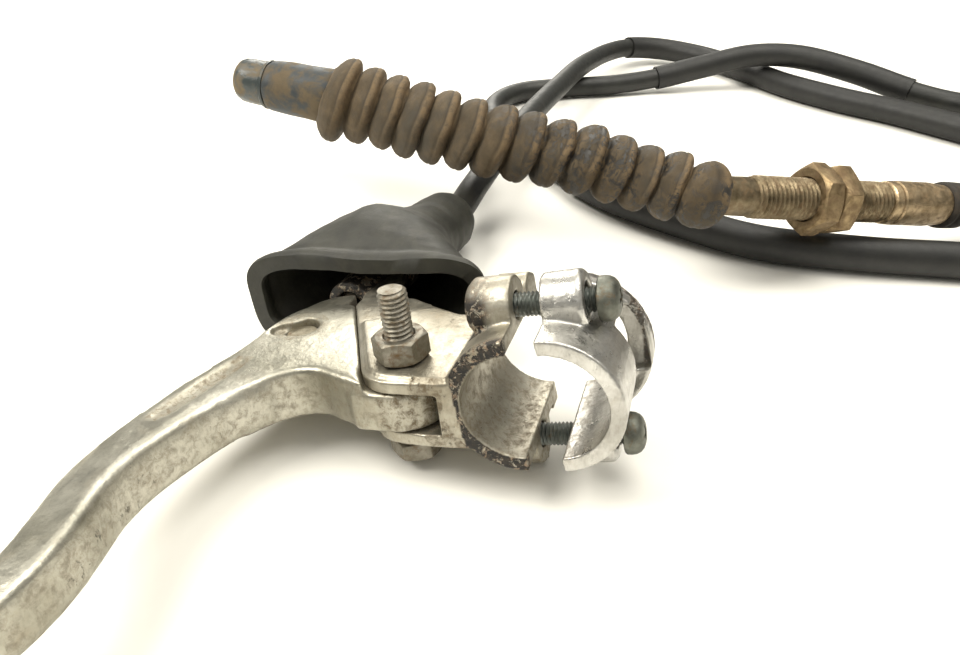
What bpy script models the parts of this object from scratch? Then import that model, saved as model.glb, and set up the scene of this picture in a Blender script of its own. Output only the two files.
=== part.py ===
"""Motorcycle clutch lever assembly: lever, perch and clamp, rubber boot and clutch cable.

The lever and its perch are modelled in a lever frame: X runs along the handlebar, Y from the bar
towards the pivot, Z along the pivot bolt. The assembly lies on a table, so an empty tilts that
frame onto the object's own frame, whose Z is up. The cable is modelled in the object's frame.
Lengths are written in millimetres and stored in metres.
"""

import math

import bmesh
import bpy
from mathutils import Euler, Matrix, Vector

MM = 0.001
GAP = 0.3

# Where the lever frame sits: tilt about X and Y in degrees, and its origin above the table.
TILT_X = -8.11
TILT_Y = 5.25
ORIGIN = Vector((0.0, 0.0, 21.72))

# Moves the whole assembly so that the clamp, lever and boot stand centred on the origin.
TABLE_SHIFT = Vector((36.55, -26.945, 0.185))

# Handlebar clamp: a 22.2 mm bar, two M5 screws, split plane turned about the bar.
BORE_R = 11.1
CLAMP_R = 14.2
CLAMP_HALF = 14.2
FLANGE_R = 16.5
FLANGE_DROP = 1.2
FLANGE_START = 9.4
SPLIT_TURN = -5.8
SPLIT_Y = 0.3
CAP_SHIFT = 5.4
SCREW_X = -0.5
SCREW_Z = 15.0
SCREW_R = 2.45
SCREW_HOLE_R = 2.8
CAP_HOLE_R = 3.3
BOSS_R = 5.9
SCREW_HEAD_Y = -15.6
SCREW_LOWER_HEAD_Y = -16.6

# The cap hangs a little open at its lower end, turned about the bar.
CAP_TURN = -2.4

# Pivot: an M6 bolt, head below and nut on top, through a fork with two ears.
PIVOT = Vector((-6.5, 24.8, 0.0))
BOLT_R = 2.95
BOLT_HOLE_R = 3.3
BUSH_R = 4.5
EAR_R = 8.6
EAR_LOW_R = 7.7
EAR_TOP = 4.8
EAR_UNDER = 2.0
EAR_FLOOR = -7.5
EAR_BOTTOM = -10.4
PAD_TOP = 5.6
SHOULDER_ANGLE = 26.6
HEX_6 = 10.0

# Lever: thickness at the root, the nipple it pulls and the cable's line.
LEVER_TOP = 4.5
LEVER_BOTTOM = -7.2
NIPPLE = Vector((6.5, 55.2, -1.2))
NIPPLE_R = 3.95
CABLE_TURN = -7.0
CABLE_RISE = 0.04

# Cable: casing and outer sleeve diameters.
CASING_R = 4.5
SLEEVE_R = 5.5
WIRE_R = 1.0

# Engine end: start of the adjuster's stub and the line that it lies along.
ENGINE_START = Vector((82.5, -33.5, 27.7))
ENGINE_AXIS = Vector((0.5146, -0.8427, -0.1581)).normalized()
THREAD_R = 6.0
STUB_R = 5.5
HEX_12 = 18.0
NUT_LENGTH = 6.0
FOLDS = 14

LEVER_FRAME = Euler((math.radians(TILT_X), math.radians(TILT_Y), 0.0)).to_matrix()


def clear_scene():
    for obj in list(bpy.data.objects):
        bpy.data.objects.remove(obj, do_unlink=True)


def material(name, color, roughness, metallic):
    made = bpy.data.materials.new(name)
    made.use_nodes = True
    shader = made.node_tree.nodes["Principled BSDF"]
    shader.inputs["Base Color"].default_value = (*color, 1.0)
    shader.inputs["Roughness"].default_value = roughness
    shader.inputs["Metallic"].default_value = metallic
    return made


def new_object(name, bm):
    """Turns a bmesh in millimetres into an object at the scene's origin."""
    bmesh.ops.recalc_face_normals(bm, faces=bm.faces[:])
    mesh = bpy.data.meshes.new(name)
    bm.to_mesh(mesh)
    bm.free()
    obj = bpy.data.objects.new(name, mesh)
    bpy.context.scene.collection.objects.link(obj)
    return obj


def loft(name, rings, closed_tube=False):
    """Skins equal rings of points in order; a closed tube joins the last ring to the first."""
    bm = bmesh.new()
    loops = [[bm.verts.new(point) for point in ring] for ring in rings]
    count = len(rings[0])
    pairs = list(zip(loops, loops[1:]))
    if closed_tube:
        pairs.append((loops[-1], loops[0]))
    else:
        bm.faces.new(list(reversed(loops[0])))
        bm.faces.new(loops[-1])
    for low, high in pairs:
        for i in range(count):
            j = (i + 1) % count
            bm.faces.new((low[i], low[j], high[j], high[i]))
    return new_object(name, bm)


def prism(name, outline, bottom, top):
    """Extrudes a plan outline between two heights."""
    rings = [[Vector((p[0], p[1], z)) for p in outline] for z in (bottom, top)]
    return loft(name, rings)


def ring_points(centre, axis, radius, sides, start=0.0):
    """Points of a circle around an axis."""
    axis = axis.normalized()
    helper = Vector((0, 0, 1)) if abs(axis.z) < 0.9 else Vector((1, 0, 0))
    side = axis.cross(helper).normalized()
    other = axis.cross(side)
    points = []
    for i in range(sides):
        angle = start + math.tau * i / sides
        points.append(centre + radius * (math.cos(angle) * side + math.sin(angle) * other))
    return points


def turned(name, start, axis, profile, sides=32):
    """A solid of revolution: profile pairs are (distance along the axis, radius)."""
    axis = axis.normalized()
    rings = [ring_points(start + axis * s, axis, r, sides) for s, r in profile]
    return loft(name, rings)


def turned_tube(name, start, axis, outer, inner, sides=32):
    """A hollow solid of revolution from an outer profile and an inner one."""
    axis = axis.normalized()
    profile = list(outer) + list(reversed(inner))
    rings = [ring_points(start + axis * s, axis, r, sides) for s, r in profile]
    return loft(name, rings, closed_tube=True)


def hexagon(name, start, axis, across_flats, length, hole_r=0.0, turn=0.0):
    """A hexagonal prism with bevelled corners' radius left sharp, and a hole if asked."""
    corner = across_flats / math.sqrt(3.0)
    axis = axis.normalized()
    rings = [ring_points(start + axis * s, axis, corner, 6, turn) for s in (0.0, length)]
    nut = loft(name, rings)
    if hole_r:
        drill = turned("drill", start - axis, axis, ((0.0, hole_r), (length + 2.0, hole_r)), 32)
        carve(nut, [drill], "DIFFERENCE")
    return nut


def carve(target, others, operation):
    """Applies exact Booleans to the target and removes the other solids."""
    for other in others:
        modifier = target.modifiers.new(other.name, "BOOLEAN")
        modifier.operation = operation
        modifier.solver = "EXACT"
        modifier.object = other
        bpy.context.view_layer.update()
        evaluated = target.evaluated_get(bpy.context.evaluated_depsgraph_get())
        mesh = bpy.data.meshes.new_from_object(evaluated)
        target.modifiers.clear()
        target.data = mesh
        bpy.data.objects.remove(other, do_unlink=True)


def smooth_path(points, per_span):
    """A Catmull-Rom curve through the points."""
    points = [Vector(p) for p in points]
    ends = [2 * points[0] - points[1]] + points + [2 * points[-1] - points[-2]]
    path = []
    for a, b, c, d in zip(ends, ends[1:], ends[2:], ends[3:]):
        for i in range(per_span):
            t = i / per_span
            path.append(0.5 * ((2 * b) + (c - a) * t + (2 * a - 5 * b + 4 * c - d) * t * t
                               + (3 * b - a - 3 * c + d) * t ** 3))
    path.append(points[-1])
    return path


def evenly(path, step):
    """The same path with points an even step apart."""
    lengths = [0.0]
    for a, b in zip(path, path[1:]):
        lengths.append(lengths[-1] + (b - a).length)
    count = max(2, round(lengths[-1] / step))
    result = []
    index = 0
    for i in range(count + 1):
        goal = lengths[-1] * i / count
        while index < len(lengths) - 2 and lengths[index + 1] < goal:
            index += 1
        span = lengths[index + 1] - lengths[index]
        t = (goal - lengths[index]) / span
        result.append(path[index].lerp(path[index + 1], t))
    return result


def plan(points, per_span=3):
    """A smooth open outline in plan, returned as pairs."""
    return [(p.x, p.y) for p in smooth_path([(x, y, 0.0) for x, y in points], per_span)]


def arc(centre, radius, start, end, steps):
    """Points of a circular arc in plan, angles in degrees."""
    points = []
    for i in range(steps + 1):
        angle = math.radians(start + (end - start) * i / steps)
        points.append((centre.x + radius * math.cos(angle), centre.y + radius * math.sin(angle)))
    return points


# ---------------------------------------------------------------- shared directions

def shoulder(along, off):
    """A point on the straight stop between lever and fork, measured from the pivot."""
    angle = math.radians(SHOULDER_ANGLE)
    line = Vector((math.cos(angle), math.sin(angle), 0.0))
    normal = Vector((-math.sin(angle), math.cos(angle), 0.0))
    point = PIVOT + line * along + normal * off
    return (point.x, point.y)


def cable_axis():
    turn = math.radians(CABLE_TURN)
    return Vector((math.cos(turn), math.sin(turn), CABLE_RISE)).normalized()


def on_cable(distance):
    return NIPPLE + cable_axis() * distance


def split_direction(vector):
    """Turns a vector from the clamp's own split plane into the lever frame."""
    return Matrix.Rotation(math.radians(SPLIT_TURN), 3, "X") @ Vector(vector)


def to_world(point):
    return LEVER_FRAME @ Vector(point) + ORIGIN


def turn_to_split(obj):
    obj.data.transform(Matrix.Rotation(math.radians(SPLIT_TURN), 4, "X"))


# ---------------------------------------------------------------- lever

def lever_blade():
    """Centre, half width, bottom, top and droop along the finger blade, root first."""
    stations = (
        ((-12.0, 57.5), 7.4, LEVER_BOTTOM, LEVER_TOP, 0.0),
        ((-21.5, 62.0), 5.9, LEVER_BOTTOM, LEVER_TOP, 0.0),
        ((-32.0, 64.8), 4.9, LEVER_BOTTOM, LEVER_TOP, 0.0),
        ((-41.0, 66.3), 4.3, LEVER_BOTTOM, LEVER_TOP, 0.0),
        ((-49.5, 66.0), 4.2, -7.1, 4.4, 0.0),
        ((-58.5, 63.6), 4.0, -7.0, 4.4, 0.0),
        ((-67.5, 62.2), 3.8, -7.0, 4.3, 0.2),
        ((-78.0, 63.8), 4.0, -6.8, 4.2, 1.0),
        ((-92.0, 67.8), 4.4, -6.5, 4.0, 3.6),
        ((-108.0, 71.2), 4.6, -6.2, 3.6, 7.6),
        ((-124.0, 73.0), 4.5, -5.8, 3.2, 11.6),
        ((-137.0, 72.8), 4.3, -5.4, 2.8, 14.2),
        ((-146.0, 72.2), 4.2, -5.2, 2.6, 15.4),
    )
    path = smooth_path([(x, y, 0.0) for (x, y), *_ in stations], 3)
    widths = smooth_path([(w, low, high) for _, w, low, high, _ in stations], 3)
    droops = smooth_path([(d, 0.0, 0.0) for *_, d in stations], 3)
    rings = []
    for i, point in enumerate(path):
        ahead = path[min(i + 1, len(path) - 1)] - path[max(i - 1, 0)]
        side = Vector((-ahead.y, ahead.x, 0.0)).normalized()
        rings.append(blade_section(point, side, widths[i], droops[i].x))
    return loft("lever_blade", rings)


def blade_section(point, side, size, droop):
    """A rounded rectangle across the blade."""
    width, low, high = size
    middle = (low + high) / 2
    half = (high - low) / 2
    ring = []
    for i in range(16):
        angle = math.tau * (i + 0.5) / 16
        across = math.copysign(abs(math.cos(angle)) ** 0.45, math.cos(angle)) * width
        up = math.copysign(abs(math.sin(angle)) ** 0.45, math.sin(angle)) * half
        ring.append(point + side * across + Vector((0.0, 0.0, middle + up - droop)))
    return ring


def build_lever():
    lever = lever_blade()
    near = [(-12.8, 37.2), (-11.2, 41.7), (-11.4, 45.6), (-13.0, 48.9), (-16.2, 52.6), (-20.5, 55.6)]
    far = [(-19.0, 67.0), (-8.8, 65.0), (0.0, 63.5), (8.0, 62.6), (14.5, 60.2), (18.4, 55.6),
           (19.0, 51.0)]
    outline = [shoulder(-5.0, EAR_R + GAP)] + plan(near) + plan(far) + [shoulder(32.0, EAR_R + GAP)]
    root = prism("root", outline, LEVER_BOTTOM + 0.02, LEVER_TOP - 0.02)
    tongue_r = EAR_R - 0.4
    tongue_outline = arc(PIVOT, tongue_r, SHOULDER_ANGLE - 180.0, SHOULDER_ANGLE, 20)
    tongue_outline += [shoulder(tongue_r, EAR_R + 2.0), shoulder(-4.4, EAR_R + 2.0),
                       shoulder(-tongue_r, 3.0)]
    tongue = prism("tongue", tongue_outline, LEVER_BOTTOM, EAR_UNDER - GAP)
    tip = Vector((-149.0, 72.0, -17.1))
    ball_profile = []
    for i in range(1, 12):
        angle = math.pi * i / 12
        ball_profile.append((-8.3 * math.cos(angle), 8.3 * math.sin(angle)))
    ball = turned("ball", tip, Vector((-1.0, 0.0, 0.0)), ball_profile, 20)
    carve(lever, [root, tongue, ball], "UNION")
    up = Vector((0, 0, 1))
    bore = turned("bore", PIVOT - up * 12, up, ((0.0, BUSH_R + GAP), (20.0, BUSH_R + GAP)), 32)
    seat = NIPPLE - up * 4.5
    pocket = turned("pocket", seat, up, ((0.0, NIPPLE_R + GAP), (14.0, NIPPLE_R + GAP)), 32)
    slot = prism("slot", [(4.0, 57.4), (26.0, 57.4), (26.0, 40.0), (14.0, 43.0), (4.0, 53.0)],
                 NIPPLE.z - 1.9, NIPPLE.z + 2.1)
    carve(lever, [bore, pocket, slot], "DIFFERENCE")
    return lever


# ---------------------------------------------------------------- perch and clamp

def body_outline(radius, near_x):
    """Plan of the fork: round ear, straight stop face, arm towards the cable nose."""
    start = 90.0 + SHOULDER_ANGLE
    points = arc(PIVOT, radius, start, 180.0, 6)
    points += [(near_x, 20.0), (near_x + 0.6, 8.0), (13.6, 8.0), (14.2, 19.0), (17.5, 26.0), (21.6, 33.0),
               (22.0, 40.0), (21.4, 46.4), shoulder(31.0, radius)]
    return points


def half_ring(name, radius, start, end, sides=48):
    return turned(name, Vector((start, 0, 0)), Vector((1, 0, 0)),
                  ((0.0, radius), (end - start, radius)), sides)


def split_block(name, low_y, high_y):
    """A block used to keep one side of the clamp's split plane."""
    outline = [(-40.0, low_y), (40.0, low_y), (40.0, high_y), (-40.0, high_y)]
    return prism(name, outline, -40.0, 40.0)


def build_perch():
    perch = half_ring("perch_bracket", CLAMP_R, -CLAMP_HALF, CLAMP_HALF)
    flange = half_ring("flange", 15.6, FLANGE_START, CLAMP_HALF - 0.05)
    y_axis = Vector((0, 1, 0))
    extra = [flange]
    for sign, length, radius in ((1, 9.6, BOSS_R), (-1, 8.4, BOSS_R + 0.1)):
        centre = Vector((SCREW_X, 0.0, sign * SCREW_Z))
        profile = ((0.0, radius), (length - 1.5, radius), (length, radius - 1.5))
        extra.append(turned("boss", centre, y_axis, profile, 32))
    extra.append(turned("lobe", Vector((10.0, 0.0, 13.0)), y_axis, ((0.0, 4.0), (7.0, 4.0)), 24))
    carve(perch, extra, "UNION")
    turn_to_split(perch)
    lower_plan = [(x * 0.985, 0.3 + y * 0.985) for x, y in body_outline(EAR_LOW_R, -14.6)]
    lower = prism("lower", lower_plan, EAR_BOTTOM, EAR_FLOOR + 0.4)
    upper = prism("upper", body_outline(EAR_R, -15.0), EAR_FLOOR, EAR_TOP)
    pad_plan = arc(PIVOT, 7.3, 90.0 + SHOULDER_ANGLE, 180.0, 8)
    pad_plan += [(-13.8, 8.5), (12.6, 8.5), (13.0, 19.2), (16.4, 26.6), shoulder(20.0, 7.3)]
    pad = prism("pad", pad_plan, EAR_TOP - 0.5, PAD_TOP)
    web = prism("web", [(14.0, 34.0), (19.0, 44.5), (24.0, 48.0), (40.0, 47.0), (38.0, 42.5),
                        (24.0, 37.0), (20.0, 28.0)], -6.4, 4.2)
    nose = turned("nose", on_cable(20.0), cable_axis(), ((0.0, 6.6), (21.0, 6.6)), 32)
    carve(perch, [lower, upper, pad, web, nose], "UNION")
    cutters = [split_block("cap side", -40.0, SPLIT_Y), half_ring("bar", BORE_R, -30.0, 30.0, 64)]
    for sign, length in ((1, 8.4), (-1, 14.0)):
        centre = Vector((SCREW_X, 0.0, sign * SCREW_Z))
        cutters.append(turned("thread", centre, y_axis, ((0.0, SCREW_HOLE_R), (length, SCREW_HOLE_R)), 24))
    for cutter in cutters:
        turn_to_split(cutter)
    cutters += perch_cutters()
    carve(perch, cutters, "DIFFERENCE")
    return perch


def perch_cutters():
    """The fork's slot, the pivot holes and the adjuster's threaded hole."""
    slot_r = EAR_R + 0.6
    outline = [(-24.0, 34.0), (-24.0, PIVOT.y - slot_r)]
    outline += arc(PIVOT, slot_r, -90.0, SHOULDER_ANGLE, 16)
    outline += [shoulder(slot_r, 14.0), shoulder(-slot_r, 14.0)]
    slot = prism("fork", outline, EAR_FLOOR, EAR_UNDER)
    up = Vector((0, 0, 1))
    pivot_hole = turned("pivot", PIVOT - up * 15, up, ((0.0, BOLT_HOLE_R), (30.0, BOLT_HOLE_R)), 32)
    adjuster = turned("adjuster", on_cable(15.0), cable_axis(), ((0.0, 4.2), (40.0, 4.2)), 32)
    return [slot, pivot_hole, adjuster]


def build_cap():
    cap = half_ring("clamp_cap", CLAMP_R, -CLAMP_HALF, CLAMP_HALF)
    flange = half_ring("flange", FLANGE_R, FLANGE_START, CLAMP_HALF - 0.05)
    flange.data.transform(Matrix.Translation(Vector((0.0, 0.0, -FLANGE_DROP))))
    extra = [flange]
    down = Vector((0, -1, 0))
    for sign in (1, -1):
        centre = Vector((SCREW_X, 1.0, sign * SCREW_Z))
        profile = ((0.0, BOSS_R), (8.4, BOSS_R), (9.2, BOSS_R - 0.8))
        extra.append(turned("boss", centre, down, profile, 32))
    carve(cap, extra, "UNION")
    cutters = [split_block("perch side", -0.1, 45.0), half_ring("bar", BORE_R, -30.0, 30.0, 64)]
    for sign in (1, -1):
        centre = Vector((SCREW_X, 2.0, sign * SCREW_Z))
        cutters.append(turned("hole", centre, down, ((0.0, CAP_HOLE_R), (14.0, CAP_HOLE_R)), 24))
    cutters.append(prism("window", [(1.4, -20.0), (8.0, -20.0), (8.0, -8.0), (1.4, -8.0)], -6.5, 8.0))
    cutters.append(prism("rim", [(7.5, -15.4), (12.4, -15.4), (12.4, -6.0), (7.5, -6.0)], -6.5, 8.0))
    carve(cap, cutters, "DIFFERENCE")
    turn = Matrix.Rotation(math.radians(CAP_TURN), 4, "X")
    hinge = Matrix.Translation(Vector((0.0, -4.0, SCREW_Z)))
    cap.data.transform(hinge @ turn @ hinge.inverted())
    cap.data.transform(Matrix.Translation(Vector((0.0, -CAP_SHIFT, 0.0))))
    turn_to_split(cap)
    return cap


def build_clamp_screw(name, sign, head_at):
    """A pan-head M5 screw with a cross recess's cone left plain."""
    start = split_direction((SCREW_X, head_at, sign * SCREW_Z))
    axis = split_direction((0.0, 1.0, 0.0))
    reach = 3.2 - head_at
    profile = ((-4.0, 2.4), (-3.7, 3.6), (-2.6, 4.4), (0.0, 4.4), (0.0, SCREW_R), (reach - 0.6, SCREW_R),
               (reach, SCREW_R - 0.6))
    return turned(name, start, axis, profile, 28)


# ---------------------------------------------------------------- pivot hardware

def build_pivot():
    up = Vector((0, 0, 1))
    head = Vector((PIVOT.x, PIVOT.y, -16.6))
    bolt = hexagon("pivot_bolt", head, up, HEX_6, 4.2, turn=0.35)
    shank = turned("shank", head + up * 2, up, ((0.0, BOLT_R), (34.5, BOLT_R), (35.1, BOLT_R - 0.6)), 28)
    carve(bolt, [shank], "UNION")
    washer = turned_tube("pivot_washer", Vector((PIVOT.x, PIVOT.y, -12.1)), up,
                         ((0.0, 5.4), (1.4, 5.4)), ((0.0, 3.25), (1.4, 3.25)))
    nut = hexagon("pivot_nut", Vector((PIVOT.x, PIVOT.y, PAD_TOP + GAP)), up, HEX_6, 5.0, 3.25, 0.27)
    bush = turned_tube("pivot_bush", Vector((PIVOT.x, PIVOT.y, LEVER_BOTTOM)), up,
                       ((0.0, BUSH_R), (8.8, BUSH_R)), ((0.0, 3.25), (8.8, 3.25)))
    return bolt, washer, nut, bush


# ---------------------------------------------------------------- cable at the lever

def build_lever_end():
    up = Vector((0, 0, 1))
    nipple = turned("cable_nipple", NIPPLE - up * 4.0, up, ((0.0, 3.5), (0.5, NIPPLE_R), (7.5, NIPPLE_R),
                                                            (8.0, 3.5)), 24)
    axis = cable_axis()
    wire = turned("inner_wire", on_cable(NIPPLE_R + GAP), axis, ((0.0, WIRE_R), (34.0, WIRE_R)), 12)
    adjuster = turned_tube("cable_adjuster", on_cable(21.5), axis,
                           ((0.0, 3.3), (0.6, 3.9), (24.4, 3.9), (24.4, 6.3), (37.0, 6.3)),
                           ((0.0, 2.4), (25.5, 2.4), (25.5, 5.2), (37.0, 5.2)))
    ring = turned_tube("adjuster_lock_ring", on_cable(41.4), axis, ((0.0, 6.6), (3.4, 6.6)),
                       ((0.0, 4.2), (3.4, 4.2)))
    ferrule = turned_tube("casing_ferrule", on_cable(47.4), axis, ((0.0, 4.9), (13.0, 4.9)),
                          ((0.0, 1.6), (13.0, 1.6)))
    return nipple, wire, adjuster, ring, ferrule


def boot_section(x, centre_y, centre_z, half_y, half_z, sides=28):
    """A rounded ring across the boot."""
    ring = []
    for i in range(sides):
        angle = math.tau * i / sides
        power = 0.75
        across = math.copysign(abs(math.cos(angle)) ** power, math.cos(angle)) * half_y
        up = math.copysign(abs(math.sin(angle)) ** power, math.sin(angle)) * half_z
        ring.append(Vector((x, centre_y + across, centre_z + up)))
    return ring


def build_boot():
    """The rubber hood: wide mouth over the perch's nose, neck around the cable."""
    shape = (
        (24.5, 47.6, 1.8, 31.0, 12.2),
        (34.0, 49.2, 3.2, 26.8, 13.4),
        (45.0, 51.0, 4.6, 20.0, 14.2),
        (56.0, 49.8, 3.4, 14.5, 12.8),
        (66.0, 48.0, 2.2, 9.9, 9.6),
        (73.0, 46.8, 1.9, 8.3, 8.3),
        (86.0, 45.4, 2.0, 7.6, 7.6),
    )
    outer = [boot_section(*s) for s in shape]
    wall = 1.9
    inner = [boot_section(x, y, z, half_y - wall, half_z - wall) for x, y, z, half_y, half_z in shape]
    return loft("rubber_boot", outer + list(reversed(inner)), closed_tube=True)


# ---------------------------------------------------------------- engine end

def on_engine(distance):
    return ENGINE_START + ENGINE_AXIS * distance


def build_engine_end():
    axis = ENGINE_AXIS
    adjuster = turned_tube("engine_adjuster", on_engine(0.0), axis,
                           ((0.0, STUB_R), (8.0, STUB_R), (8.4, THREAD_R), (54.0, THREAD_R)),
                           ((0.0, 2.4), (54.0, 2.4)))
    front = hexagon("jam_nut_front", on_engine(27.0), axis, HEX_12, NUT_LENGTH, THREAD_R + GAP, 0.2)
    rear = hexagon("jam_nut_rear", on_engine(27.3 + NUT_LENGTH), axis, HEX_12, NUT_LENGTH,
                   THREAD_R + GAP, 0.5)
    ferrule = turned("crimp_ferrule", on_engine(54.3), axis, ((0.0, 6.4), (17.0, 6.4), (21.4, 6.0)), 28)
    cap = turned("casing_cap", on_engine(76.0), axis, ((0.0, 6.9), (7.0, 6.8), (8.2, 6.0)), 28)
    return adjuster, front, rear, ferrule, cap


def bellows_axis():
    """The bellows runs from the adjuster's stub over the cable that it rests on."""
    points = [on_engine(2.0), on_engine(-3.5), (84.0, -19.6, 28.1), (90.5, -7.5, 27.4), (96.2, 2.5, 27.5),
              (99.6, 14.7, 27.6), (102.0, 27.0, 27.8), (104.9, 41.7, 28.2), (108.3, 56.2, 28.9),
              (111.9, 69.8, 29.9), (115.2, 83.1, 30.9), (117.9, 97.0, 31.9)]
    return smooth_path(points, 8)


def build_bellows():
    """A tapering rubber gaiter with a fold every nine millimetres around the inner wire."""
    path = evenly(bellows_axis(), 1.0)
    steps = FOLDS * 4
    depth = (3.4, 0.9, 0.0, 0.9)
    outer = []
    inner = []
    for i in range(steps + 1):
        t = i / steps
        index = round(t * (len(path) - 1))
        ahead = path[min(index + 1, len(path) - 1)] - path[max(index - 1, 0)]
        crest = 9.9 + 3.7 * t
        outer.append(ring_points(path[index], ahead, crest - depth[i % 4], 16))
        inner.append(ring_points(path[index], ahead, crest - 4.0, 16))
    return loft("cable_bellows", outer + list(reversed(inner)), closed_tube=True)


def build_bellows_end():
    """The fitting that the bellows' small sleeve grips, and the wire that pulls it."""
    start = Vector((118.1, 98.5, 32.1))
    axis = (Vector((118.8, 134.0, 35.3)) - start).normalized()
    sleeve = turned_tube("bellows_sleeve", start, axis,
                         ((0.0, 9.4), (3.0, 9.4), (22.0, 8.8), (23.5, 8.4)), ((0.0, 7.6), (23.5, 7.6)), 24)
    fitting = turned("engine_end_fitting", start + axis * 4.0, axis,
                     ((0.0, 6.4), (0.8, 7.2), (27.2, 7.2), (31.2, 7.1), (32.2, 6.2)), 24)
    rings = []
    line = evenly(bellows_axis(), 6.0)[4:]
    for i, point in enumerate(line):
        ahead = line[min(i + 1, len(line) - 1)] - line[max(i - 1, 0)]
        rings.append(ring_points(point, ahead, WIRE_R, 10))
    wire = loft("engine_wire", rings)
    return sleeve, fitting, wire


# ---------------------------------------------------------------- cable casing

def cable_route():
    """Centre line from the boot's neck to the engine end, one list for each stretch of cover."""
    exit_points = [tuple(to_world(on_cable(s))) for s in (60.7, 74.0, 86.0)]
    lever_side = exit_points + [(106.0, 44.2, 10.4), (130.0, 42.9, 12.4), (156.0, 41.0, 14.1),
                                (184.0, 39.2, 14.2), (212.0, 36.6, 14.2), (240.0, 33.6, 14.2),
                                (263.0, 30.6, 12.6), (287.0, 26.0, 10.6)]
    long_sleeve = [(305.0, 17.5, 9.2), (315.5, 1.0, 7.2), (310.5, -20.4, 6.2), (293.0, -42.0, 5.8),
                   (272.0, -62.0, 5.6), (256.0, -84.0, 5.6), (244.5, -106.0, 5.6), (229.0, -129.0, 5.6),
                   (213.0, -152.0, 5.6), (194.0, -173.0, 5.6), (168.0, -186.0, 5.6),
                   (140.0, -182.0, 5.6), (119.0, -161.0, 5.6), (110.0, -133.0, 5.6),
                   (106.5, -104.0, 5.6), (102.6, -75.0, 5.6), (101.4, -49.0, 5.6),
                   (108.6, -27.0, 5.6), (119.5, -4.5, 5.6)]
    turn = [(133.0, 13.5, 5.8), (158.0, 37.5, 4.7), (182.0, 56.0, 4.6), (206.0, 64.5, 4.6),
            (228.0, 58.5, 4.6), (241.0, 40.0, 4.6), (251.0, 19.0, 4.8)]
    short_sleeve = [(263.0, -1.5, 6.4), (272.0, -22.0, 11.0), (279.5, -44.0, 16.0), (279.5, -66.0, 17.0),
                    (272.5, -91.0, 14.0)]
    engine_side = [(262.5, -114.0, 9.8), (255.0, -132.0, 8.4), (243.0, -150.0, 11.0), (225.0, -163.0, 16.2),
                   (204.0, -168.0, 17.6), (182.0, -165.5, 13.0), (163.0, -155.0, 7.0),
                   (150.0, -142.0, 6.2)]
    engine_side += [tuple(on_engine(s)) for s in (106.0, 95.0, 84.6)]
    return lever_side, long_sleeve, turn, short_sleeve, engine_side


def build_casing():
    """Five solid tubes end to end along one smooth centre line."""
    stretches = cable_route()
    points = [point for stretch in stretches for point in stretch]
    path = smooth_path(points, 6)
    names = ("casing_lever_side", "sleeve_long", "casing_turn", "sleeve_short", "casing_engine_side")
    radii = (CASING_R, SLEEVE_R, CASING_R, SLEEVE_R, CASING_R)
    tubes = []
    first = 0
    done = 0
    for name, radius, stretch in zip(names, radii, stretches):
        done += len(stretch)
        last = min(6 * done, len(path) - 1)
        tubes.append(cable_tube(name, square_ended(path, first, last), radius))
        first = last
    return tubes


def square_ended(path, first, last):
    """Evenly spaced points of one stretch, with both end faces square to the cable."""
    piece = evenly(path[first:last + 1], 11.0)
    start_way = (path[first + 1] - path[max(first - 1, 0)]).normalized()
    end_way = (path[min(last + 1, len(path) - 1)] - path[last - 1]).normalized()
    piece[-1] = piece[-1] - end_way * GAP
    piece.insert(1, piece[0] + start_way * 2.0)
    piece.insert(-1, piece[-1] - end_way * 2.0)
    return piece


def cable_tube(name, path, radius):
    """A round solid tube from a poly curve with filled ends."""
    curve = bpy.data.curves.new(name, "CURVE")
    curve.dimensions = "3D"
    curve.bevel_depth = radius
    curve.bevel_resolution = 3
    curve.use_fill_caps = True
    curve.render_resolution_u = 0
    spline = curve.splines.new("POLY")
    spline.points.add(len(path) - 1)
    for target, point in zip(spline.points, path):
        target.co = (*point, 1.0)
    obj = bpy.data.objects.new(name, curve)
    bpy.context.scene.collection.objects.link(obj)
    return obj


# ---------------------------------------------------------------- assembly

def settle(obj, made, parent, origin=(0.0, 0.0, 0.0)):
    """Scales to metres, moves the origin to its axis, and hangs the object on its parent."""
    obj.data.transform(Matrix.Translation(-Vector(origin)))
    obj.data.transform(Matrix.Scale(MM, 4))
    if obj.type == "MESH":
        obj.data.shade_smooth()
        obj.data.set_sharp_from_angle(angle=math.radians(35.0))
    obj.location = Vector(origin) * MM
    obj.parent = parent
    obj.data.materials.clear()
    obj.data.materials.append(made)


def empty(name, location, rotation, parent):
    made = bpy.data.objects.new(name, None)
    made.location = Vector(location) * MM
    made.rotation_euler = rotation
    made.parent = parent
    bpy.context.scene.collection.objects.link(made)
    return made


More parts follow.
